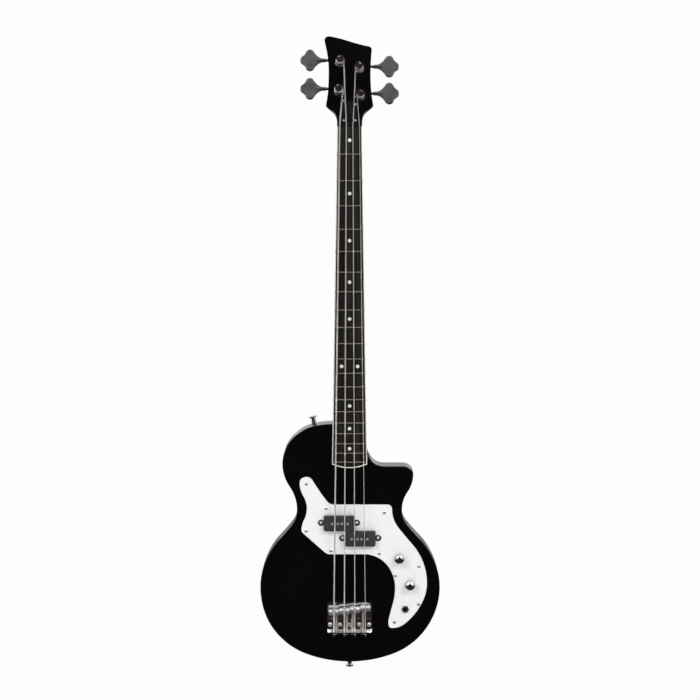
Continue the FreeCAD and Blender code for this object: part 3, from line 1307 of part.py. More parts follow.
def magnet_places():
    """Two magnets under each string, within its half of the pickup."""
    places = []
    for index in range(4):
        z = pickup_halves()[0 if index < 2 else 1][1]
        run = (NUT_LINE - z) / SCALE_LENGTH
        x = STRING_X_AT_NUT[index] + (STRING_X_AT_BRIDGE[index] - STRING_X_AT_NUT[index]) * run
        places += [(x - MAGNET_PAIR / 2, z), (x + MAGNET_PAIR / 2, z)]
    return places


def pickup_cover(x, z):
    """Moulded cover, open below, with a drilled ear at each end."""
    top = pickup_top()
    base = top + PICKUP_HEIGHT
    shell = rounded_box(x, z, PICKUP_LENGTH, PICKUP_WIDTH, PICKUP_CORNER, top, base)
    shell = shell.makeFillet(1.0, edges_at(shell, top))
    hollow = rounded_box(x, z, PICKUP_LENGTH - 2 * PICKUP_WALL, PICKUP_WIDTH - 2 * PICKUP_WALL,
                         PICKUP_CORNER - PICKUP_WALL, top + PICKUP_WALL, base + 1)
    ear_front = FRONT + OPEN_GAP
    ears = []
    cuts = [hollow]
    for side in (-1, 1):
        centre = Vector(x + side * PICKUP_EAR_X, ear_front, z)
        ears.append(rod(PICKUP_EAR_RADIUS, centre, Y_AXIS, PICKUP_EAR_THICKNESS))
        cuts.append(rod(PICKUP_SCREW[2] + SNUG, centre - Y_AXIS, Y_AXIS, PICKUP_EAR_THICKNESS + 2))
    for magnet_x, magnet_z in magnet_places():
        if magnet_z == z:
            cuts.append(rod(MAGNET_RADIUS + SNUG, Vector(magnet_x, top - 1, z), Y_AXIS, PICKUP_WALL + 2))
    return shell.fuse(ears).removeSplitter().cut(cuts)


def pickup_screw_seats():
    seats = []
    for x, z in pickup_halves():
        for side in (-1, 1):
            seats.append(Vector(x + side * PICKUP_EAR_X, FRONT + OPEN_GAP, z))
    return seats


def pickup_coil(x, z):
    """Coil on its former, round the magnets inside a cover."""
    top = pickup_top() + PICKUP_WALL + OPEN_GAP
    coil = rounded_box(x, z, COIL_LENGTH, COIL_WIDTH, COIL_WIDTH / 2 - 0.1, top, top + COIL_HEIGHT)
    cuts = [rounded_box(x, z, COIL_BORE_LENGTH, COIL_BORE_WIDTH, COIL_BORE_WIDTH / 2 - 0.1, top + 1, top + COIL_HEIGHT - 1)]
    for magnet_x, magnet_z in magnet_places():
        if magnet_z == z:
            cuts.append(rod(MAGNET_RADIUS + SNUG, Vector(magnet_x, top - 1, z), Y_AXIS, COIL_HEIGHT + 2))
    return coil.cut(cuts)


def pickup_foam(x, z):
    """Foam block that pushes a pickup half up against its screws."""
    start = pickup_top() + PICKUP_WALL + OPEN_GAP + COIL_HEIGHT + OPEN_GAP
    floor = FRONT + PICKUP_CAVITY_DEPTH
    foam = rounded_box(x, z, COIL_LENGTH - 4, COIL_WIDTH - 2, 2.0, start, floor)
    cuts = []
    for magnet_x, magnet_z in magnet_places():
        if magnet_z == z:
            cuts.append(rod(MAGNET_RADIUS + OPEN_GAP, Vector(magnet_x, start - 1, z), Y_AXIS,
                            pickup_top() + MAGNET_LENGTH + 2 - start))
    return foam.cut(cuts)


def potentiometer(place):
    x, z = place
    can = rod(POT_RADIUS, Vector(x, FRONT, z), Y_AXIS, POT_HEIGHT)
    bushing = rod(POT_BUSHING_RADIUS, Vector(x, GUARD_FRONT - POT_BUSHING_RISE, z), Y_AXIS,
                  GUARD_THICKNESS + POT_BUSHING_RISE)
    lug = box(x - 8, x + 8, FRONT + 2, FRONT + 3, z - POT_RADIUS - 6, z - POT_RADIUS + 2)
    bore = rod(POT_SHAFT_RADIUS + RUNNING, Vector(x, GUARD_FRONT - POT_BUSHING_RISE - 1, z), Y_AXIS,
               POT_BUSHING_RISE + 1 + GUARD_THICKNESS + POT_SHAFT_SINK + 0.5)
    return can.fuse([bushing, lug]).removeSplitter().cut(bore)


def threaded_nut(place, flats, height, hole):
    x, z = place
    body_part = hexagon(flats, Vector(x, GUARD_FRONT, z), height)
    return body_part.cut(rod(hole + SNUG, Vector(x, GUARD_FRONT - height - 1, z), Y_AXIS, height + 2))


def knob(place):
    """Domed knob, hollow below, drawn as a turned profile and bored for the shaft."""
    x, z = place
    base = GUARD_FRONT - KNOB_LIFT
    top = GUARD_FRONT - KNOB_HEIGHT
    shoulder = top + KNOB_DOME
    dome_radius = (KNOB_RADIUS ** 2 + KNOB_DOME ** 2) / (2 * KNOB_DOME)
    lift = Vector(x + KNOB_RADIUS / 2, 0, z)
    dome_mid = top + dome_radius - math.sqrt(dome_radius ** 2 - (KNOB_RADIUS / 2) ** 2)
    edges = [
        Part.LineSegment(Vector(x, base, z), Vector(x + KNOB_RADIUS, base, z)).toShape(),
        Part.LineSegment(Vector(x + KNOB_RADIUS, base, z), Vector(x + KNOB_RADIUS, shoulder, z)).toShape(),
        Part.Arc(Vector(x + KNOB_RADIUS, shoulder, z), Vector(lift.x, dome_mid, z), Vector(x, top, z)).toShape(),
        Part.LineSegment(Vector(x, top, z), Vector(x, base, z)).toShape(),
    ]
    turned = Part.Face(Part.Wire(edges)).revolve(Vector(x, 0, z), Y_AXIS, 360)
    recess = rod(KNOB_RECESS_RADIUS, Vector(x, base - KNOB_RECESS_DEPTH, z), Y_AXIS, KNOB_RECESS_DEPTH + 1)
    bore_top = GUARD_FRONT - POT_SHAFT_RISE - SNUG
    bore = rod(POT_SHAFT_RADIUS + SNUG, Vector(x, bore_top, z), Y_AXIS, base + 1 - bore_top)
    return turned.cut([recess, bore])


def knob_shaft(place):
    x, z = place
    top = GUARD_FRONT - POT_SHAFT_RISE
    return rod(POT_SHAFT_RADIUS, Vector(x, top, z), Y_AXIS, FRONT + POT_SHAFT_SINK - top)


def output_jack():
    """Barrel through the guard with a flange and a bent frame behind it."""
    x, z = JACK_PLACE
    barrel = rod(JACK_BARREL_RADIUS, Vector(x, GUARD_FRONT - JACK_BARREL_RISE, z), Y_AXIS,
                 JACK_BARREL_RISE + GUARD_THICKNESS + JACK_FLANGE_THICKNESS)
    flange = rod(JACK_FLANGE_RADIUS, Vector(x, FRONT, z), Y_AXIS, JACK_FLANGE_THICKNESS)
    leaf_start = FRONT + JACK_FLANGE_THICKNESS
    leaf = box(x + 6, x + 7, leaf_start - 1, leaf_start + JACK_FRAME_LENGTH, z - 4, z + 4)
    stack = box(x + 7, x + 11, leaf_start + 4, leaf_start + 9, z - 4, z + 4)
    bore = rod(JACK_BORE_RADIUS, Vector(x, GUARD_FRONT - JACK_BARREL_RISE - 1, z), Y_AXIS, 40)
    return barrel.fuse([flange, leaf, stack]).removeSplitter().cut(bore)


def tone_capacitor():
    """Capacitor lying on the back of the tone control."""
    x, z = TONE_PLACE
    start = Vector(x - SNUG, FRONT + POT_HEIGHT + CAPACITOR_RADIUS + SNUG, z - CAPACITOR_RADIUS - 3 * WIRE_RADIUS)
    return rod(CAPACITOR_RADIUS, start, X_AXIS, CAPACITOR_LENGTH)


def control_wires():
    """Leads from the pickup to the volume control, on to the tone control and to the jack."""
    depth = FRONT + POT_HEIGHT + WIRE_RADIUS + 0.3
    pickup_end = Vector(PICKUP_OFFSET_X + PICKUP_EAR_X, FRONT + 10, PICKUP_LOWER_Z - 8)
    volume = Vector(VOLUME_PLACE[0], depth, VOLUME_PLACE[1])
    tone = Vector(TONE_PLACE[0], depth, TONE_PLACE[1])
    jack = Vector(JACK_PLACE[0] + 9, FRONT + 16, JACK_PLACE[1] + 12)
    first_bend = Vector(VOLUME_PLACE[0] - 6, depth, PICKUP_LOWER_Z - 8)
    first = tube([pickup_end, first_bend, volume + Z_AXIS * 4], [8], WIRE_RADIUS)
    middle = (volume + tone) * 0.5 + Vector(7, 0, 5)
    second = tube([volume + X_AXIS * 5, middle, tone + X_AXIS * 3], [8], WIRE_RADIUS)
    third_bend = Vector((tone.x + jack.x) / 2 - 5, depth, (tone.z + jack.z) / 2)
    third = tube([tone - X_AXIS * 5, third_bend, jack], [8], WIRE_RADIUS)
    return [first, second, third]


def build():
    os.makedirs("parts", exist_ok=True)
    body = body_part()
    save("body", body)
    save("neck", neck())
    board, binding, markers = fingerboard_parts()
    save("fingerboard", board)
    save("fingerboard_binding", binding)
    save("fret_wires", *[fret_wire(number) for number in range(1, FRET_COUNT + 1)])
    save("fret_markers", *markers)
    save("string_nut", string_nut())
    save("truss_rod", truss_rod())
    save("truss_rod_nut", truss_rod_nut())
    save("truss_rod_cover", truss_rod_cover())
    save("truss_rod_cover_screws", *[screw(COVER_SCREW, seat, out) for seat, out in cover_screw_seats()])
    save("tuner_baseplates", *[tuner_baseplate(name) for name in STRING_NAMES])
    save("tuner_bushings", *[tuner_bushing(name) for name in STRING_NAMES])
    save("tuner_screws", *[screw(TUNER_SCREW, seat, out) for seat, out in tuner_screw_seats()])
    save("pickguard", pickguard())
    guard_seats = [Vector(x, GUARD_FRONT, z) for x, z in GUARD_SCREW_PLACES]
    save("pickguard_screws", *[screw(GUARD_SCREW, seat, Y_AXIS * -1) for seat in guard_seats])
    save("pickup_covers", *[pickup_cover(x, z) for x, z in pickup_halves()])
    magnet_top = pickup_top()
    magnets = [rod(MAGNET_RADIUS, Vector(x, magnet_top, z), Y_AXIS, MAGNET_LENGTH) for x, z in magnet_places()]
    save("pickup_magnets", *magnets)
    save("pickup_coils", *[pickup_coil(x, z) for x, z in pickup_halves()])
    save("pickup_foam", *[pickup_foam(x, z) for x, z in pickup_halves()])
    save("pickup_screws", *[screw(PICKUP_SCREW, seat, Y_AXIS * -1) for seat in pickup_screw_seats()])
    save("volume_knob", knob(VOLUME_PLACE), knob_shaft(VOLUME_PLACE))
    save("tone_knob", knob(TONE_PLACE), knob_shaft(TONE_PLACE))
    save("potentiometers", potentiometer(VOLUME_PLACE), potentiometer(TONE_PLACE))
    save("control_nuts",
         threaded_nut(VOLUME_PLACE, POT_NUT_FLATS, POT_NUT_HEIGHT, POT_BUSHING_RADIUS),
         threaded_nut(TONE_PLACE, POT_NUT_FLATS, POT_NUT_HEIGHT, POT_BUSHING_RADIUS),
         threaded_nut(JACK_PLACE, JACK_NUT_FLATS, JACK_NUT_HEIGHT, JACK_BARREL_RADIUS))
    save("output_jack", output_jack())
    save("tone_capacitor", tone_capacitor())
    save("control_wires", *control_wires())
    save("bridge_plate", bridge_plate())
    save("bridge_screws", *[screw(BRIDGE_SCREW, seat, Y_AXIS * -1) for seat in bridge_screw_seats()])
    for index, name in enumerate(STRING_NAMES):
        save("tuner_key_" + name, tuner_key(name))
        save("tuner_post_" + name, tuner_post(name), string_winding(index))
        save("string_" + name, string_wire(index))
        save("saddle_" + name, saddle(index), *height_screws(index))
        save("intonation_screw_" + name, intonation_screw(index))
        save("intonation_spring_" + name, intonation_spring(index))
    save("string_ball_ends", *[ball_end(index) for index in range(4)])
    save("strap_buttons", *[strap_button(seat, out) for seat, out in strap_seats()])
    save("strap_button_screws", *[strap_screw(seat, out) for seat, out in strap_seats()])
    save("neck_screws", *[screw(NECK_SCREW, seat, Y_AXIS) for seat in neck_screw_seats()])
    save("neck_ferrules", *[neck_ferrule(seat) for seat in neck_screw_seats()])


build()
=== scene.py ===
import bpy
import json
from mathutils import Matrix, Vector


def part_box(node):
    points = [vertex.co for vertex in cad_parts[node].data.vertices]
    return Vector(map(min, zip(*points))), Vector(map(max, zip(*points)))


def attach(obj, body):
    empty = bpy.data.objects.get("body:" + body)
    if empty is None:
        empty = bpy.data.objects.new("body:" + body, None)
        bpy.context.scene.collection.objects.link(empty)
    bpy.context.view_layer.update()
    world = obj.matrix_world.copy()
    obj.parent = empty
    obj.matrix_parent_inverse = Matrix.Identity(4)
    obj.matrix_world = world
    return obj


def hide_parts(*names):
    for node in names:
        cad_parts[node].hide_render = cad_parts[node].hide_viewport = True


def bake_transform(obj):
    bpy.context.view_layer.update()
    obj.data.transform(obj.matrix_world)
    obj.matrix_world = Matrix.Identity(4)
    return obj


bl_info = {
    "name": "Electric bass guitar",
    "version": (1, 0, 0),
    "blender": (4, 5, 0),
    "location": "View3D > Sidebar > Bass",
    "description": "Dresses the frame of an electric bass guitar: finishes, springs, windings and studio",
    "category": "Object",
}

import json
import math
from collections import namedtuple

import bpy
from bpy.props import FloatProperty, FloatVectorProperty, IntProperty, PointerProperty
from mathutils import Matrix, Vector

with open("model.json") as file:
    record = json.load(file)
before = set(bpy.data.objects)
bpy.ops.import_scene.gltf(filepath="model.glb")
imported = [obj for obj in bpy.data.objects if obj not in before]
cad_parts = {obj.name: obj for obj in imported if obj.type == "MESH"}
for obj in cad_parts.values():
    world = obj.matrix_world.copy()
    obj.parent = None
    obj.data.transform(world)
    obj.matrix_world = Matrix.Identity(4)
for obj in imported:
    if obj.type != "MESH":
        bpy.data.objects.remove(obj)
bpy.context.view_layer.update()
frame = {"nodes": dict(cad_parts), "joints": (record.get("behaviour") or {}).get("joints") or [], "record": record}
NODES = frame["nodes"]
JOINTS = {joint["name"]: joint for joint in frame["joints"]}
STRINGS = ("e", "a", "d", "g")
MAIN_BODY = "instrument"
LEFT_WOUND = ("d", "g")

# Meshes, with lengths in metres and angles in degrees
MERGE_DISTANCE = 1e-6
SAME_PLACE = 1e-5
FLAT_ANGLE = 0.5
SHARP_ANGLE = 40.0
WIRE_SIDES = 10
STEPS_PER_TURN = 24
BEND_SEGMENTS = 6
EDGE_SEGMENTS = 3
EDGE_SMOOTHING = 35.0
WIRE_SMOOTHING = 60.0
POST_SMOOTHING = 30.0

# Plain finishes: slot, colour, its drift, fineness of the clouds, roughness from and to, waviness, metal
Polish = namedtuple("Polish", "slot colour drift scale smoothest roughest relief metallic")
POLISHES = (
    Polish("black_lacquer", "lacquer", 0.2, 9.0, 0.05, 0.09, 0.015, 0.0),
    Polish("binding", "binding", 0.05, 60.0, 0.25, 0.40, 0.02, 0.0),
    Polish("fret_steel", "fret", 0.10, 180.0, 0.18, 0.32, 0.05, 1.0),
    Polish("marker_pearl", "marker", 0.18, 260.0, 0.20, 0.35, 0.02, 0.0),
    Polish("black_plastic", "black_plastic", 0.2, 40.0, 0.14, 0.24, 0.02, 0.0),
    Polish("guard_plastic", "guard", 0.012, 14.0, 0.20, 0.30, 0.01, 0.0),
    Polish("chrome", "chrome", 0.05, 70.0, 0.05, 0.12, 0.01, 1.0),
    Polish("tuner_metal", "tuner", 0.10, 60.0, 0.30, 0.42, 0.02, 1.0),
    Polish("screw_steel", "steel", 0.12, 300.0, 0.30, 0.46, 0.03, 0.8),
    Polish("magnet_alloy", "magnet", 0.20, 400.0, 0.35, 0.50, 0.06, 0.5),
    Polish("coil_copper", "copper", 0.25, 300.0, 0.30, 0.45, 0.10, 1.0),
    Polish("foam", "foam", 0.4, 700.0, 0.80, 0.95, 0.60, 0.0),
    Polish("wire_insulation", "wire", 0.10, 120.0, 0.35, 0.50, 0.02, 0.0),
    Polish("capacitor_film", "capacitor", 0.12, 90.0, 0.20, 0.35, 0.03, 0.0),
    Polish("satin_chrome", "chrome", 0.05, 120.0, 0.28, 0.40, 0.02, 1.0),
    Polish("bright_steel", "bright_steel", 0.05, 300.0, 0.42, 0.55, 0.02, 0.4),
)
PICKUP_POLISH = Polish("pickup_plastic", "pickup", 0.12, 240.0, 0.38, 0.52, 0.06, 0.0)
SADDLE_POLISH = Polish("saddle", "chrome", 0.06, 240.0, 0.44, 0.58, 0.02, 1.0)
OWN_FINISHES = {"output_jack": "satin_chrome", "pickup_screws": "bright_steel", "string_ball_ends": "chrome"}
OWN_FINISHES.update(("saddle_" + string, "saddle") for string in STRINGS)

# Other finishes
CLOUD_DETAIL = 4.0
CLOUD_DEPTH = 0.0005
TINT_FROM = 0.3
TINT_TO = 0.7
SADDLE_GROOVE_SCALE = 105.0
SADDLE_GROOVE_STRENGTH = 0.9
SADDLE_GROOVE_DEPTH = 0.0006
EAR_DEPTH_FROM = 0.0012
EAR_DEPTH_TO = 0.0018
BOARD_SHINE = 0.2
GRAIN_ACROSS = 430.0
GRAIN_ALONG = 6.0
GRAIN_SCALE = 1.0
GRAIN_DETAIL = 6.0
GRAIN_STRENGTH = 0.15
GRAIN_DEPTH = 0.0003
BOARD_ROUGHNESS = (0.35, 0.55)
WINDING_SCALE = 500.0
WINDING_STRENGTH = 1.0
WINDING_DEPTH = 0.00025
# How much darker the grooves and lighter the crowns of the turns are painted: painted shade and painted highlight
WINDING_GROOVE_SHADE = 0.15
STRING_ROUGHNESS = (0.28, 0.40)

# Studio
FLOOR_SIZE = 8.0
FLOOR_ROUGHNESS = 0.9
FLOOR_FADE = (-0.2, 0.6)
SIDE_FADE = (-0.88, -0.60)
UPWARD_FADE = (-0.16, -0.02)
LAMP_PLACE = (1.5, -1.5, 1.9)
LAMP_SIZE = 0.9
BACK_LAMP_PLACE = (1.6, 1.5, 1.5)
BACK_LAMP_SIZE = 1.2
SENSOR_WIDTH = 36.0


def colour_property(name, description, default):
    return FloatVectorProperty(
        name=name, description=description, default=default, subtype="COLOR", size=3, min=0.0, max=1.0)


def length_property(name, description, default):
    return FloatProperty(
        name=name, description=description, default=default, subtype="DISTANCE", unit="LENGTH", min=0.0,
        precision=5)


class BassFinishes(bpy.types.PropertyGroup):
    """Colours of the finishes."""

    lacquer: colour_property("Lacquer", "Body and neck lacquer", (0.0016, 0.0016, 0.0018))
    binding: colour_property("Binding", "Edge strip of the fingerboard", (0.76, 0.74, 0.69))
    board_dark: colour_property("Board, dark", "Dark lines of the board's grain", (0.0015, 0.0012, 0.0012))
    board_light: colour_property("Board, light", "Light lines of the board's grain", (0.026, 0.021, 0.019))
    fret: colour_property("Fret", "Fret wire", (0.62, 0.59, 0.53))
    marker: colour_property("Marker", "Position dots", (0.75, 0.75, 0.72))
    black_plastic: colour_property("Black plastic", "Nut and truss rod cover", (0.008, 0.008, 0.009))
    pickup: colour_property("Pickup", "Pickup covers", (0.036, 0.036, 0.041))
    guard: colour_property("Pickguard", "Pickguard sheet", (0.84, 0.84, 0.84))
    chrome: colour_property("Chrome", "Bridge, knobs, posts and bushings", (0.72, 0.72, 0.73))
    tuner: colour_property("Tuner keys", "Smoky plated tuner keys", (0.205, 0.202, 0.200))
    strings: colour_property("Strings", "Wound strings", (0.80, 0.77, 0.73))
    steel: colour_property("Steel", "Screws and springs", (0.74, 0.71, 0.68))
    bright_steel: colour_property("Bright steel", "Pickup height screws", (0.92, 0.90, 0.88))
    magnet: colour_property("Magnets", "Pickup magnets", (0.50, 0.43, 0.37))
    copper: colour_property("Coil", "Enamelled coil wire", (0.32, 0.13, 0.05))
    foam: colour_property("Foam", "Foam under the pickups", (0.05, 0.05, 0.05))
    wire: colour_property("Leads", "Insulated leads", (0.30, 0.03, 0.02))
    capacitor: colour_property("Capacitor", "Tone capacitor", (0.35, 0.12, 0.02))


class BassCoils(bpy.types.PropertyGroup):
    """Sizes of the bridge springs and of the strings' turns on the posts."""

    spring_wire: length_property("Spring wire", "Radius of the spring wire", 0.0003)
    spring_turns: IntProperty(name="Spring turns", description="Turns of each spring", default=9, min=2)
    winding_turns: IntProperty(
        name="Winding turns", description="Turns of string that ride on a post", default=2, min=1)


class BassBridge(bpy.types.PropertyGroup):
    """Roundings of the bridge's bent sheet."""

    sheet: length_property("Sheet", "Thickness of the bent sheet", 0.002)
    bend: length_property("Bend", "Inner radius of the bend below the lip", 0.003)
    edge: length_property("Edge", "Rounding of the other edges", 0.0006)


class BassStudio(bpy.types.PropertyGroup):
    """Camera, lamps and background."""

    lens: FloatProperty(name="Lens", description="Focal length in millimetres", default=58.25, min=10.0)
    distance: length_property("Distance", "From the camera to the aim point", 2.0)
    tilt: FloatProperty(name="Tilt", description="How far the camera looks down", default=math.radians(6.03),
                        subtype="ANGLE", unit="ROTATION")
    aim_height: length_property("Aim height", "Height of the aim point above the origin", 0.5741)
    aim_depth: length_property("Aim depth", "How far the aim point lies in front of the body's middle", 0.031)
    aim_side: FloatProperty(
        name="Aim side", description="Aim point to the right", default=0.0007, unit="LENGTH")
    lamp_power: FloatProperty(
        name="Lamp power", description="Power of each main lamp in watts", default=29.5, min=0.0)
    back_power: FloatProperty(
        name="Back power", description="Power of each lamp behind in watts", default=18.0, min=0.0)
    fill: FloatProperty(
        name="Fill", description="Strength of the light from all around", default=0.42, min=0.0)
    dark_room: colour_property("Dark room", "Front of the room and floor as polished faces mirror them",
                               (0.030, 0.020, 0.018))
    bright_room: colour_property("Bright room", "Upper sides of the room as polished faces mirror them",
                                 (0.86, 0.86, 0.87))
    back_floor: colour_property("Back floor", "Floor behind as polished faces mirror it", (0.34, 0.34, 0.34))
    background: colour_property("Background", "Floor and background", (0.973, 0.991, 0.973))
    floor_drop: length_property("Floor drop", "From the origin down to the floor", 0.30)


# Selection and modelling helpers
def deselect_all():
    bpy.ops.object.select_all(action="DESELECT")


def use(piece):
    """Makes one object the only selected and active one."""
    deselect_all()
    piece.select_set(True)
    bpy.context.view_layer.objects.active = piece


def wire_coil(name, wire_radius, coil_radius, pitch, turns, left_handed=False):
    """Round wire wound along +Z, from Z = 0, made by screwing a ring round the Z axis."""
    deselect_all()
    bpy.ops.mesh.primitive_circle_add(
        vertices=WIRE_SIDES, radius=wire_radius, fill_type="NGON", location=(coil_radius, 0, 0),
        rotation=(math.pi / 2, 0, 0))
    coil = bpy.context.object
    coil.name = name
    bpy.ops.object.transform_apply(location=True, rotation=True, scale=True)
    screw = coil.modifiers.new("wind", "SCREW")
    screw.axis = "Z"
    screw.steps = STEPS_PER_TURN
    screw.render_steps = STEPS_PER_TURN
    screw.iterations = turns
    screw.screw_offset = pitch
    screw.use_merge_vertices = False
    bpy.ops.object.modifier_apply(modifier=screw.name)
    close_wire_ends(coil)
    if left_handed:
        coil.data.transform(Matrix.Scale(-1, 4, (1, 0, 0)))
        outward_faces(coil)
    return coil


def close_wire_ends(coil):
    """Merges doubles, caps open ends and turns all faces outwards."""
    use(coil)
    bpy.ops.object.mode_set(mode="EDIT")
    bpy.ops.mesh.select_all(action="SELECT")
    bpy.ops.mesh.remove_doubles(threshold=MERGE_DISTANCE)
    bpy.ops.mesh.select_all(action="DESELECT")
    bpy.ops.mesh.select_non_manifold()
    bpy.ops.mesh.edge_face_add()
    bpy.ops.object.mode_set(mode="OBJECT")
    outward_faces(coil)


def outward_faces(piece):
    """Turns all faces of a piece outwards."""
    use(piece)
    bpy.ops.object.mode_set(mode="EDIT")
    bpy.ops.mesh.select_all(action="SELECT")
    bpy.ops.mesh.normals_make_consistent(inside=False)
    bpy.ops.object.mode_set(mode="OBJECT")


def smooth(piece, degrees):
    """Shades faces as one surface where they meet at less than an angle."""
    use(piece)
    bpy.ops.object.shade_smooth_by_angle(angle=math.radians(degrees))


def finish_piece(piece, slot):
    """Gives a new piece the finish made for a slot."""
    piece.data.materials.clear()
    piece.data.materials.append(bpy.data.materials[finish_name(slot)])


# Shader helpers
def finish_name(slot):
    """Name of a finish: the frame's own plain materials already have the slots' names."""
    return slot + "_finish"


def node_group(name, inputs, outputs):
    tree = bpy.data.node_groups.new(name, "ShaderNodeTree")
    for label, default in inputs:
        socket = tree.interface.new_socket(label, in_out="INPUT", socket_type="NodeSocketFloat")
        socket.default_value = default
    for label, kind in outputs:
        tree.interface.new_socket(label, in_out="OUTPUT", socket_type=kind)
    start = tree.nodes.new("NodeGroupInput")
    end = tree.nodes.new("NodeGroupOutput")
    return tree, start, end


def polish_group():
    """Soft clouds in a polish: a changing roughness and a slight waviness."""
    tree, start, end = node_group(
        "polish clouds",
        [("Scale", 20.0), ("Smoothest", 0.05), ("Roughest", 0.12), ("Relief", 0.02)],
        [("Cloud", "NodeSocketFloat"), ("Roughness", "NodeSocketFloat"), ("Normal", "NodeSocketVector")])
    place = tree.nodes.new("ShaderNodeTexCoord")
    noise = tree.nodes.new("ShaderNodeTexNoise")
    noise.inputs["Detail"].default_value = CLOUD_DETAIL
    spread = tree.nodes.new("ShaderNodeMapRange")
    bump = tree.nodes.new("ShaderNodeBump")
    bump.inputs["Distance"].default_value = CLOUD_DEPTH
    tree.links.new(place.outputs["Object"], noise.inputs["Vector"])
    tree.links.new(start.outputs["Scale"], noise.inputs["Scale"])
    tree.links.new(noise.outputs["Fac"], spread.inputs["Value"])
    tree.links.new(start.outputs["Smoothest"], spread.inputs["To Min"])
    tree.links.new(start.outputs["Roughest"], spread.inputs["To Max"])
    tree.links.new(noise.outputs["Fac"], bump.inputs["Height"])
    tree.links.new(start.outputs["Relief"], bump.inputs["Strength"])
    tree.links.new(noise.outputs["Fac"], end.inputs["Cloud"])
    tree.links.new(spread.outputs["Result"], end.inputs["Roughness"])
    tree.links.new(bump.outputs["Normal"], end.inputs["Normal"])
    return tree


def finish(slot, metallic=0.0):
    """New material with its shader, ready for links."""
    material = bpy.data.materials.new(finish_name(slot))
    material.use_nodes = True
    tree = material.node_tree
    shader = tree.nodes["Principled BSDF"]
    shader.inputs["Metallic"].default_value = metallic
    return tree, shader


def polished(tree, shader, polish):
    """Places the polish group and links its roughness and normal."""
    clouds = tree.nodes.new("ShaderNodeGroup")
    clouds.node_tree = bpy.data.node_groups["polish clouds"]
    clouds.inputs["Scale"].default_value = polish.scale
    clouds.inputs["Smoothest"].default_value = polish.smoothest
    clouds.inputs["Roughest"].default_value = polish.roughest
    clouds.inputs["Relief"].default_value = polish.relief
    tree.links.new(clouds.outputs["Roughness"], shader.inputs["Roughness"])
    tree.links.new(clouds.outputs["Normal"], shader.inputs["Normal"])
    return clouds


def tinted(tree, shader, value, dark, light):
    """Colours a surface between two tints by a changing value."""
    ramp = tree.nodes.new("ShaderNodeValToRGB")
    ramp.color_ramp.elements[0].color = (*dark, 1.0)
    ramp.color_ramp.elements[1].color = (*light, 1.0)
    ramp.color_ramp.elements[0].position = TINT_FROM
    ramp.color_ramp.elements[1].position = TINT_TO
    tree.links.new(value, ramp.inputs["Fac"])
    tree.links.new(ramp.outputs["Color"], shader.inputs["Base Color"])


def shades(colour, spread):
    """A darker and a lighter tint of one colour."""
    dark = tuple(max(channel * (1 - spread), 0.0) for channel in colour)
    light = tuple(min(channel * (1 + spread), 1.0) for channel in colour)
    return dark, light


def plain_polish(polish, colours):
    """Finish with clouded polish and a slight drift of colour."""
    tree, shader = finish(polish.slot, polish.metallic)
    clouds = polished(tree, shader, polish)
    tinted(tree, shader, clouds.outputs["Cloud"], *shades(getattr(colours, polish.colour), polish.drift))


def saddle_finish(colours):
    """Satin plating with grooves across the saddle's crown."""
    tree, shader = finish(SADDLE_POLISH.slot, SADDLE_POLISH.metallic)
    clouds = polished(tree, shader, SADDLE_POLISH)
    place = tree.nodes.new("ShaderNodeTexCoord")
    grooves = tree.nodes.new("ShaderNodeTexWave")
    grooves.bands_direction = "X"
    grooves.inputs["Scale"].default_value = SADDLE_GROOVE_SCALE
    bump = tree.nodes.new("ShaderNodeBump")
    bump.inputs["Strength"].default_value = SADDLE_GROOVE_STRENGTH
    bump.inputs["Distance"].default_value = SADDLE_GROOVE_DEPTH
    tree.links.new(place.outputs["Object"], grooves.inputs["Vector"])
    tree.links.new(grooves.outputs["Fac"], bump.inputs["Height"])
    tree.links.new(clouds.outputs["Normal"], bump.inputs["Normal"])
    tree.links.new(bump.outputs["Normal"], shader.inputs["Normal"])
    tinted(tree, shader, clouds.outputs["Cloud"], *shades(colours.chrome, SADDLE_POLISH.drift))


def pickup_finish(colours):
    """Satin moulded plastic, near black on the low ears beside the raised cover."""
    tree, shader = finish(PICKUP_POLISH.slot, PICKUP_POLISH.metallic)
    clouds = polished(tree, shader, PICKUP_POLISH)
    place = tree.nodes.new("ShaderNodeTexCoord")
    split = tree.nodes.new("ShaderNodeSeparateXYZ")
    height = tree.nodes.new("ShaderNodeMapRange")
    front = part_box("pickup_covers")[0].y
    height.inputs["From Min"].default_value = front + EAR_DEPTH_FROM
    height.inputs["From Max"].default_value = front + EAR_DEPTH_TO
    cover = tree.nodes.new("ShaderNodeValToRGB")
    dark, light = shades(colours.pickup, PICKUP_POLISH.drift)
    cover.color_ramp.elements[0].color = (*dark, 1.0)
    cover.color_ramp.elements[1].color = (*light, 1.0)
    mix = tree.nodes.new("ShaderNodeMix")
    mix.data_type = "RGBA"
    mix.inputs["B"].default_value = (*colours.black_plastic, 1.0)
    tree.links.new(place.outputs["Object"], split.inputs["Vector"])
    tree.links.new(split.outputs["Y"], height.inputs["Value"])
    tree.links.new(height.outputs["Result"], mix.inputs["Factor"])
    tree.links.new(clouds.outputs["Cloud"], cover.inputs["Fac"])
    tree.links.new(cover.outputs["Color"], mix.inputs["A"])
    tree.links.new(mix.outputs["Result"], shader.inputs["Base Color"])


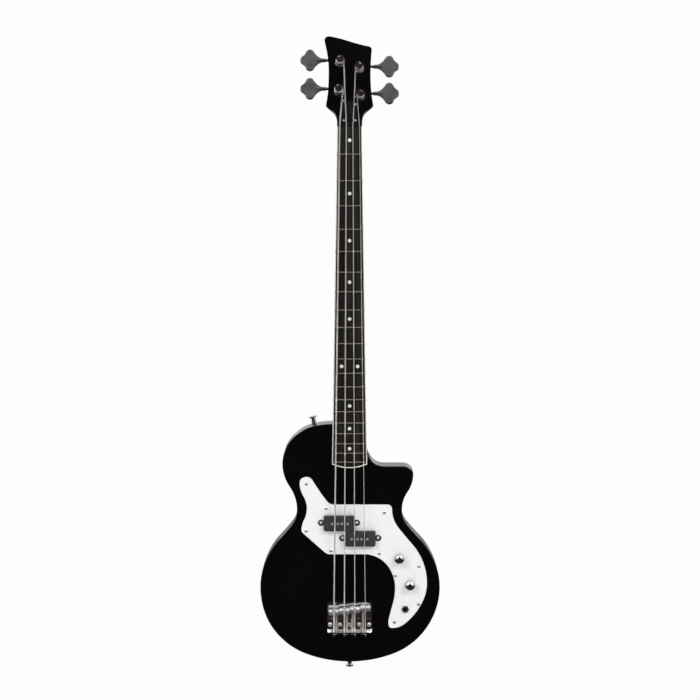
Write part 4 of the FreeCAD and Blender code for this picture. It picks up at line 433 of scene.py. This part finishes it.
def board_finish(colours):
    """Dark oiled wood with fine grain along the neck."""
    tree, shader = finish("fingerboard_wood")
    shader.inputs["Specular IOR Level"].default_value = BOARD_SHINE
    place = tree.nodes.new("ShaderNodeTexCoord")
    along = tree.nodes.new("ShaderNodeMapping")
    along.inputs["Scale"].default_value = (GRAIN_ACROSS, GRAIN_ACROSS, GRAIN_ALONG)
    grain = tree.nodes.new("ShaderNodeTexNoise")
    grain.inputs["Scale"].default_value = GRAIN_SCALE
    grain.inputs["Detail"].default_value = GRAIN_DETAIL
    bump = tree.nodes.new("ShaderNodeBump")
    bump.inputs["Strength"].default_value = GRAIN_STRENGTH
    bump.inputs["Distance"].default_value = GRAIN_DEPTH
    spread = tree.nodes.new("ShaderNodeMapRange")
    spread.inputs["To Min"].default_value = BOARD_ROUGHNESS[0]
    spread.inputs["To Max"].default_value = BOARD_ROUGHNESS[1]
    tree.links.new(place.outputs["Object"], along.inputs["Vector"])
    tree.links.new(along.outputs["Vector"], grain.inputs["Vector"])
    tree.links.new(grain.outputs["Fac"], bump.inputs["Height"])
    tree.links.new(grain.outputs["Fac"], spread.inputs["Value"])
    tree.links.new(spread.outputs["Result"], shader.inputs["Roughness"])
    tree.links.new(bump.outputs["Normal"], shader.inputs["Normal"])
    tinted(tree, shader, grain.outputs["Fac"], colours.board_dark, colours.board_light)


def string_finish(colours):
    """Wound metal: fine rings along the string, coloured darker in the grooves as painted shade and lighter on the
    crowns as painted highlight.
    """
    tree, shader = finish("string_nickel", metallic=1.0)
    place = tree.nodes.new("ShaderNodeTexCoord")
    rings = tree.nodes.new("ShaderNodeTexWave")
    rings.bands_direction = "Z"
    rings.inputs["Scale"].default_value = WINDING_SCALE
    bump = tree.nodes.new("ShaderNodeBump")
    bump.inputs["Strength"].default_value = WINDING_STRENGTH
    bump.inputs["Distance"].default_value = WINDING_DEPTH
    spread = tree.nodes.new("ShaderNodeMapRange")
    spread.inputs["To Min"].default_value = STRING_ROUGHNESS[0]
    spread.inputs["To Max"].default_value = STRING_ROUGHNESS[1]
    tree.links.new(place.outputs["Object"], rings.inputs["Vector"])
    tree.links.new(rings.outputs["Fac"], bump.inputs["Height"])
    tree.links.new(rings.outputs["Fac"], spread.inputs["Value"])
    tree.links.new(spread.outputs["Result"], shader.inputs["Roughness"])
    tree.links.new(bump.outputs["Normal"], shader.inputs["Normal"])
    # The rings also set the colour: painted shade in the grooves, painted highlight on the crowns
    tinted(tree, shader, rings.outputs["Fac"], *shades(colours.strings, WINDING_GROOVE_SHADE))


class BASS_OT_finishes(bpy.types.Operator):
    """Make every finish and give each node of the frame its own"""

    bl_idname = "bass.finishes"
    bl_label = "Finishes"

    def execute(self, context):
        colours = context.scene.bass_finishes
        polish_group()
        for polish in POLISHES:
            plain_polish(polish, colours)
        pickup_finish(colours)
        saddle_finish(colours)
        board_finish(colours)
        string_finish(colours)
        for part in frame["record"]["subparts"]:
            mesh = NODES[part["node"]].data
            mesh.materials.clear()
            chosen = OWN_FINISHES.get(part["node"], part["material_slot"])
            mesh.materials.append(bpy.data.materials[finish_name(chosen)])
        return {"FINISHED"}


def merged_copy(node, name):
    """Copy of a node's mesh with its loose triangles joined and its flat faces made whole."""
    piece = NODES[node].copy()
    piece.data = NODES[node].data.copy()
    piece.name = name
    piece.parent = None
    for key in list(piece.keys()):
        del piece[key]
    bpy.context.scene.collection.objects.link(piece)
    use(piece)
    bpy.ops.mesh.customdata_custom_splitnormals_clear()
    bpy.ops.object.mode_set(mode="EDIT")
    bpy.ops.mesh.select_all(action="SELECT")
    bpy.ops.mesh.remove_doubles(threshold=MERGE_DISTANCE)
    bpy.ops.mesh.dissolve_limited(angle_limit=math.radians(FLAT_ANGLE))
    bpy.ops.object.mode_set(mode="OBJECT")
    return piece


def round_edges(piece, width):
    """Rounds the sharp edges of a piece, so that they catch the light."""
    use(piece)
    bevel = piece.modifiers.new("round", "BEVEL")
    bevel.width = width
    bevel.segments = EDGE_SEGMENTS
    bevel.limit_method = "ANGLE"
    bevel.angle_limit = math.radians(SHARP_ANGLE)
    bpy.ops.object.modifier_apply(modifier=bevel.name)
    smooth(piece, EDGE_SMOOTHING)


class BASS_OT_bridge(bpy.types.Operator):
    """Round the bend and the edges of the bridge plate"""

    bl_idname = "bass.bridge"
    bl_label = "Bridge"

    def execute(self, context):
        sizes = context.scene.bass_bridge
        plate = merged_copy("bridge_plate", "bridge_sheet")
        self.round_bend(plate, sizes)
        round_edges(plate, sizes.edge)
        finish_piece(plate, "chrome")
        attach(plate, MAIN_BODY)
        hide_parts("bridge_plate")
        return {"FINISHED"}

    def round_bend(self, plate, sizes):
        """Rounds the corner between the plate and its upright lip."""
        low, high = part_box("bridge_plate")
        corner = Vector((0, high.y - sizes.sheet, low.z + sizes.sheet))
        points = plate.data.vertices
        near = [(point.co - corner).yz.length < SAME_PLACE for point in points]
        use(plate)
        bpy.ops.object.mode_set(mode="EDIT")
        bpy.ops.mesh.select_mode(type="EDGE")
        bpy.ops.mesh.select_all(action="DESELECT")
        bpy.ops.object.mode_set(mode="OBJECT")
        for edge in plate.data.edges:
            edge.select = near[edge.vertices[0]] and near[edge.vertices[1]]
        if not any(edge.select for edge in plate.data.edges):
            raise RuntimeError("The bridge plate has no edge at its bend")
        bpy.ops.object.mode_set(mode="EDIT")
        bpy.ops.mesh.bevel(offset=sizes.bend, segments=BEND_SEGMENTS, affect="EDGES")
        bpy.ops.mesh.select_mode(type="VERT")
        bpy.ops.object.mode_set(mode="OBJECT")


class BASS_OT_springs(bpy.types.Operator):
    """Wind a compression spring round each length screw of the bridge"""

    bl_idname = "bass.springs"
    bl_label = "Bridge springs"

    def execute(self, context):
        sizes = context.scene.bass_coils
        for string in STRINGS:
            node = "intonation_spring_" + string
            low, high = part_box(node)
            reach = (high.x - low.x) / 2 - sizes.spring_wire
            pitch = (high.z - low.z - 2 * sizes.spring_wire) / sizes.spring_turns
            spring = wire_coil("spring_" + string, sizes.spring_wire, reach, pitch, sizes.spring_turns)
            middle = (low + high) / 2
            spring.data.transform(Matrix.Translation((middle.x, middle.y, low.z + sizes.spring_wire)))
            smooth(spring, WIRE_SMOOTHING)
            finish_piece(spring, "screw_steel")
            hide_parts(node)
            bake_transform(spring)
        return {"FINISHED"}


def post_frame(string):
    """Place on a post's axis and the turn that takes +Z to the way the post stands out of the headstock."""
    joint = JOINTS["tuner_post_%s_turn" % string]
    outward = -Vector(joint["axis"])
    turn = outward.to_track_quat("Z", "X").to_matrix().to_4x4()
    return Matrix.Translation(Vector(joint["pos_m"])) @ turn


def loose_pieces(node, name):
    """Merged copy of a node, split into its separate solids, largest first."""
    use(merged_copy(node, name))
    bpy.ops.object.mode_set(mode="EDIT")
    bpy.ops.mesh.select_all(action="SELECT")
    bpy.ops.mesh.separate(type="LOOSE")
    bpy.ops.object.mode_set(mode="OBJECT")
    split = list(bpy.context.selected_objects)
    return sorted(split, key=lambda part: -part.dimensions.length)


class BASS_OT_posts(bpy.types.Operator):
    """Smooth the string posts and wind each string's end round its own"""

    bl_idname = "bass.posts"
    bl_label = "String posts"

    def execute(self, context):
        sizes = context.scene.bass_coils
        for string in STRINGS:
            node = "tuner_post_" + string
            post, turns = loose_pieces(node, "post_" + string)
            post.name = "post_" + string
            place = post_frame(string)
            back = place.inverted()
            points = [back @ vertex.co for vertex in turns.data.vertices]
            low = min(point.z for point in points)
            high = max(point.z for point in points)
            outer = max(point.xy.length for point in points)
            inner = min(point.xy.length for point in points)
            bpy.data.objects.remove(turns)
            wire = (outer - inner) / 2
            pitch = (high - low - 2 * wire) / sizes.winding_turns
            winding = wire_coil("winding_" + string, wire, (outer + inner) / 2, pitch, sizes.winding_turns,
                                left_handed=string in LEFT_WOUND)
            winding.data.transform(place @ Matrix.Translation((0, 0, low + wire)))
            smooth(winding, WIRE_SMOOTHING)
            smooth(post, POST_SMOOTHING)
            finish_piece(post, "chrome")
            finish_piece(winding, "string_nickel")
            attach(post, node)
            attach(winding, node)
            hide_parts(node)
        return {"FINISHED"}


class BASS_OT_stage(bpy.types.Operator):
    """Set the floor, the room, the lamps and the camera"""

    bl_idname = "bass.stage"
    bl_label = "Studio"

    def execute(self, context):
        studio = context.scene.bass_studio
        self.floor(studio)
        self.room(context, studio)
        aim = Vector((studio.aim_side, -studio.aim_depth, studio.aim_height))
        for side, name in ((-1, "left"), (1, "right")):
            front = Vector((side * LAMP_PLACE[0], *LAMP_PLACE[1:]))
            behind = Vector((side * BACK_LAMP_PLACE[0], *BACK_LAMP_PLACE[1:]))
            self.lamp(context, name + "_lamp", front, aim, studio.lamp_power, LAMP_SIZE)
            self.lamp(context, name + "_back_lamp", behind, aim, studio.back_power, BACK_LAMP_SIZE)
        self.camera(context, studio, aim)
        context.scene.view_settings.view_transform = "Standard"
        return {"FINISHED"}

    def floor(self, studio):
        """Flat floor under the instrument."""
        deselect_all()
        bpy.ops.mesh.primitive_plane_add(size=FLOOR_SIZE, location=(0, 0, -studio.floor_drop))
        floor = bpy.context.object
        floor.name = "floor"
        bpy.ops.object.transform_apply(location=True, rotation=True, scale=True)
        floor.data.materials.append(self.floor_paper(studio))

    def floor_paper(self, studio):
        """Pale paper that polished faces mirror as dark in front and paler behind."""
        material = bpy.data.materials.new("floor_paper")
        material.use_nodes = True
        tree = material.node_tree
        shader = tree.nodes["Principled BSDF"]
        shader.inputs["Base Color"].default_value = (*studio.background, 1.0)
        shader.inputs["Roughness"].default_value = FLOOR_ROUGHNESS
        place = tree.nodes.new("ShaderNodeTexCoord")
        split = tree.nodes.new("ShaderNodeSeparateXYZ")
        tree.links.new(place.outputs["Object"], split.inputs["Vector"])
        behind = self.fade(tree, split.outputs["Y"], *FLOOR_FADE)
        mirrored = tree.nodes.new("ShaderNodeEmission")
        colour = self.between(tree, behind, studio.dark_room, studio.back_floor)
        tree.links.new(colour, mirrored.inputs["Color"])
        shown = tree.nodes.new("ShaderNodeEmission")
        shown.inputs["Color"].default_value = (*studio.background, 1.0)
        seen = self.by_ray(
            tree, shader.outputs["BSDF"], mirrored.outputs["Emission"], shown.outputs["Emission"])
        tree.links.new(seen, tree.nodes["Material Output"].inputs["Surface"])
        return material

    def between(self, tree, value, first, second):
        """Colour that goes from one to another as a value rises."""
        ramp = tree.nodes.new("ShaderNodeValToRGB")
        ramp.color_ramp.elements[0].color = (*first, 1.0)
        ramp.color_ramp.elements[1].color = (*second, 1.0)
        tree.links.new(value, ramp.inputs["Fac"])
        return ramp.outputs["Color"]

    def chosen(self, tree, ray, other, own):
        """Shader that one kind of ray sees in place of another."""
        mix = tree.nodes.new("ShaderNodeMixShader")
        tree.links.new(ray, mix.inputs["Fac"])
        tree.links.new(other, mix.inputs[1])
        tree.links.new(own, mix.inputs[2])
        return mix.outputs["Shader"]

    def by_ray(self, tree, other, mirrored, shown):
        """Shader that reflections see as mirrored, and the camera and clear things as shown."""
        rays = tree.nodes.new("ShaderNodeLightPath")
        last = other
        choices = (("Is Glossy Ray", mirrored), ("Is Transmission Ray", shown), ("Is Camera Ray", shown))
        for ray, own in choices:
            last = self.chosen(tree, rays.outputs[ray], last, own)
        return last

    def room(self, context, studio):
        """Even light from all around; polished faces mirror a dark front and bright upper sides."""
        world = bpy.data.worlds.new("studio_room")
        world.use_nodes = True
        tree = world.node_tree
        even = tree.nodes["Background"]
        even.inputs["Color"].default_value = (1.0, 1.0, 1.0, 1.0)
        even.inputs["Strength"].default_value = studio.fill
        way = tree.nodes.new("ShaderNodeTexCoord")
        split = tree.nodes.new("ShaderNodeSeparateXYZ")
        aside = self.fade(tree, split.outputs["Y"], *SIDE_FADE)
        upward = self.fade(tree, split.outputs["Z"], *UPWARD_FADE)
        both = tree.nodes.new("ShaderNodeMath")
        both.operation = "MULTIPLY"
        mirrored = tree.nodes.new("ShaderNodeBackground")
        shown = tree.nodes.new("ShaderNodeBackground")
        shown.inputs["Color"].default_value = (*studio.background, 1.0)
        tree.links.new(way.outputs["Generated"], split.inputs["Vector"])
        tree.links.new(aside, both.inputs[0])
        tree.links.new(upward, both.inputs[1])
        colour = self.between(tree, both.outputs["Value"], studio.dark_room, studio.bright_room)
        tree.links.new(colour, mirrored.inputs["Color"])
        seen = self.by_ray(
            tree, even.outputs["Background"], mirrored.outputs["Background"], shown.outputs["Background"])
        tree.links.new(seen, tree.nodes["World Output"].inputs["Surface"])
        context.scene.world = world

    def fade(self, tree, value, start, end):
        """Value that rises from 0 to 1 between two levels of another."""
        spread = tree.nodes.new("ShaderNodeMapRange")
        spread.inputs["From Min"].default_value = start
        spread.inputs["From Max"].default_value = end
        tree.links.new(value, spread.inputs["Value"])
        return spread.outputs["Result"]

    def lamp(self, context, name, place, aim, power, size):
        """Square lamp that shines at the aim point."""
        light = bpy.data.lights.new(name, "AREA")
        light.energy = power
        light.size = size
        lamp = bpy.data.objects.new(name, light)
        lamp.location = place
        lamp.rotation_euler = (aim - place).to_track_quat("-Z", "Y").to_euler()
        context.scene.collection.objects.link(lamp)

    def camera(self, context, studio, aim):
        """Camera in front of the aim point, looking slightly down at it."""
        lens = bpy.data.cameras.new("camera")
        lens.lens = studio.lens
        lens.sensor_width = SENSOR_WIDTH
        camera = bpy.data.objects.new("camera", lens)
        back = Vector((0, -math.cos(studio.tilt), math.sin(studio.tilt)))
        camera.location = aim + back * studio.distance
        camera.rotation_euler = (math.pi / 2 - studio.tilt, 0, 0)
        context.scene.collection.objects.link(camera)
        context.scene.camera = camera


class BASS_PT_panel(bpy.types.Panel):
    """Steps that dress the instrument, in order"""

    bl_idname = "BASS_PT_panel"
    bl_label = "Electric bass guitar"
    bl_space_type = "VIEW_3D"
    bl_region_type = "UI"
    bl_category = "Bass"

    def draw(self, context):
        for operator in OPERATORS:
            self.layout.operator(operator.bl_idname)


GROUPS = (BassFinishes, BassCoils, BassBridge, BassStudio)
OPERATORS = (BASS_OT_finishes, BASS_OT_bridge, BASS_OT_springs, BASS_OT_posts, BASS_OT_stage)
CLASSES = GROUPS + OPERATORS + (BASS_PT_panel,)


def register():
    for kind in CLASSES:
        bpy.utils.register_class(kind)
    bpy.types.Scene.bass_finishes = PointerProperty(type=BassFinishes)
    bpy.types.Scene.bass_coils = PointerProperty(type=BassCoils)
    bpy.types.Scene.bass_bridge = PointerProperty(type=BassBridge)
    bpy.types.Scene.bass_studio = PointerProperty(type=BassStudio)


def unregister():
    del bpy.types.Scene.bass_studio
    del bpy.types.Scene.bass_bridge
    del bpy.types.Scene.bass_coils
    del bpy.types.Scene.bass_finishes
    for kind in reversed(CLASSES):
        bpy.utils.unregister_class(kind)


def main():
    register()
    bpy.ops.bass.finishes()
    bpy.ops.bass.bridge()
    bpy.ops.bass.springs()
    bpy.ops.bass.posts()
    bpy.ops.bass.stage()


if __name__ == "__main__":
    main()
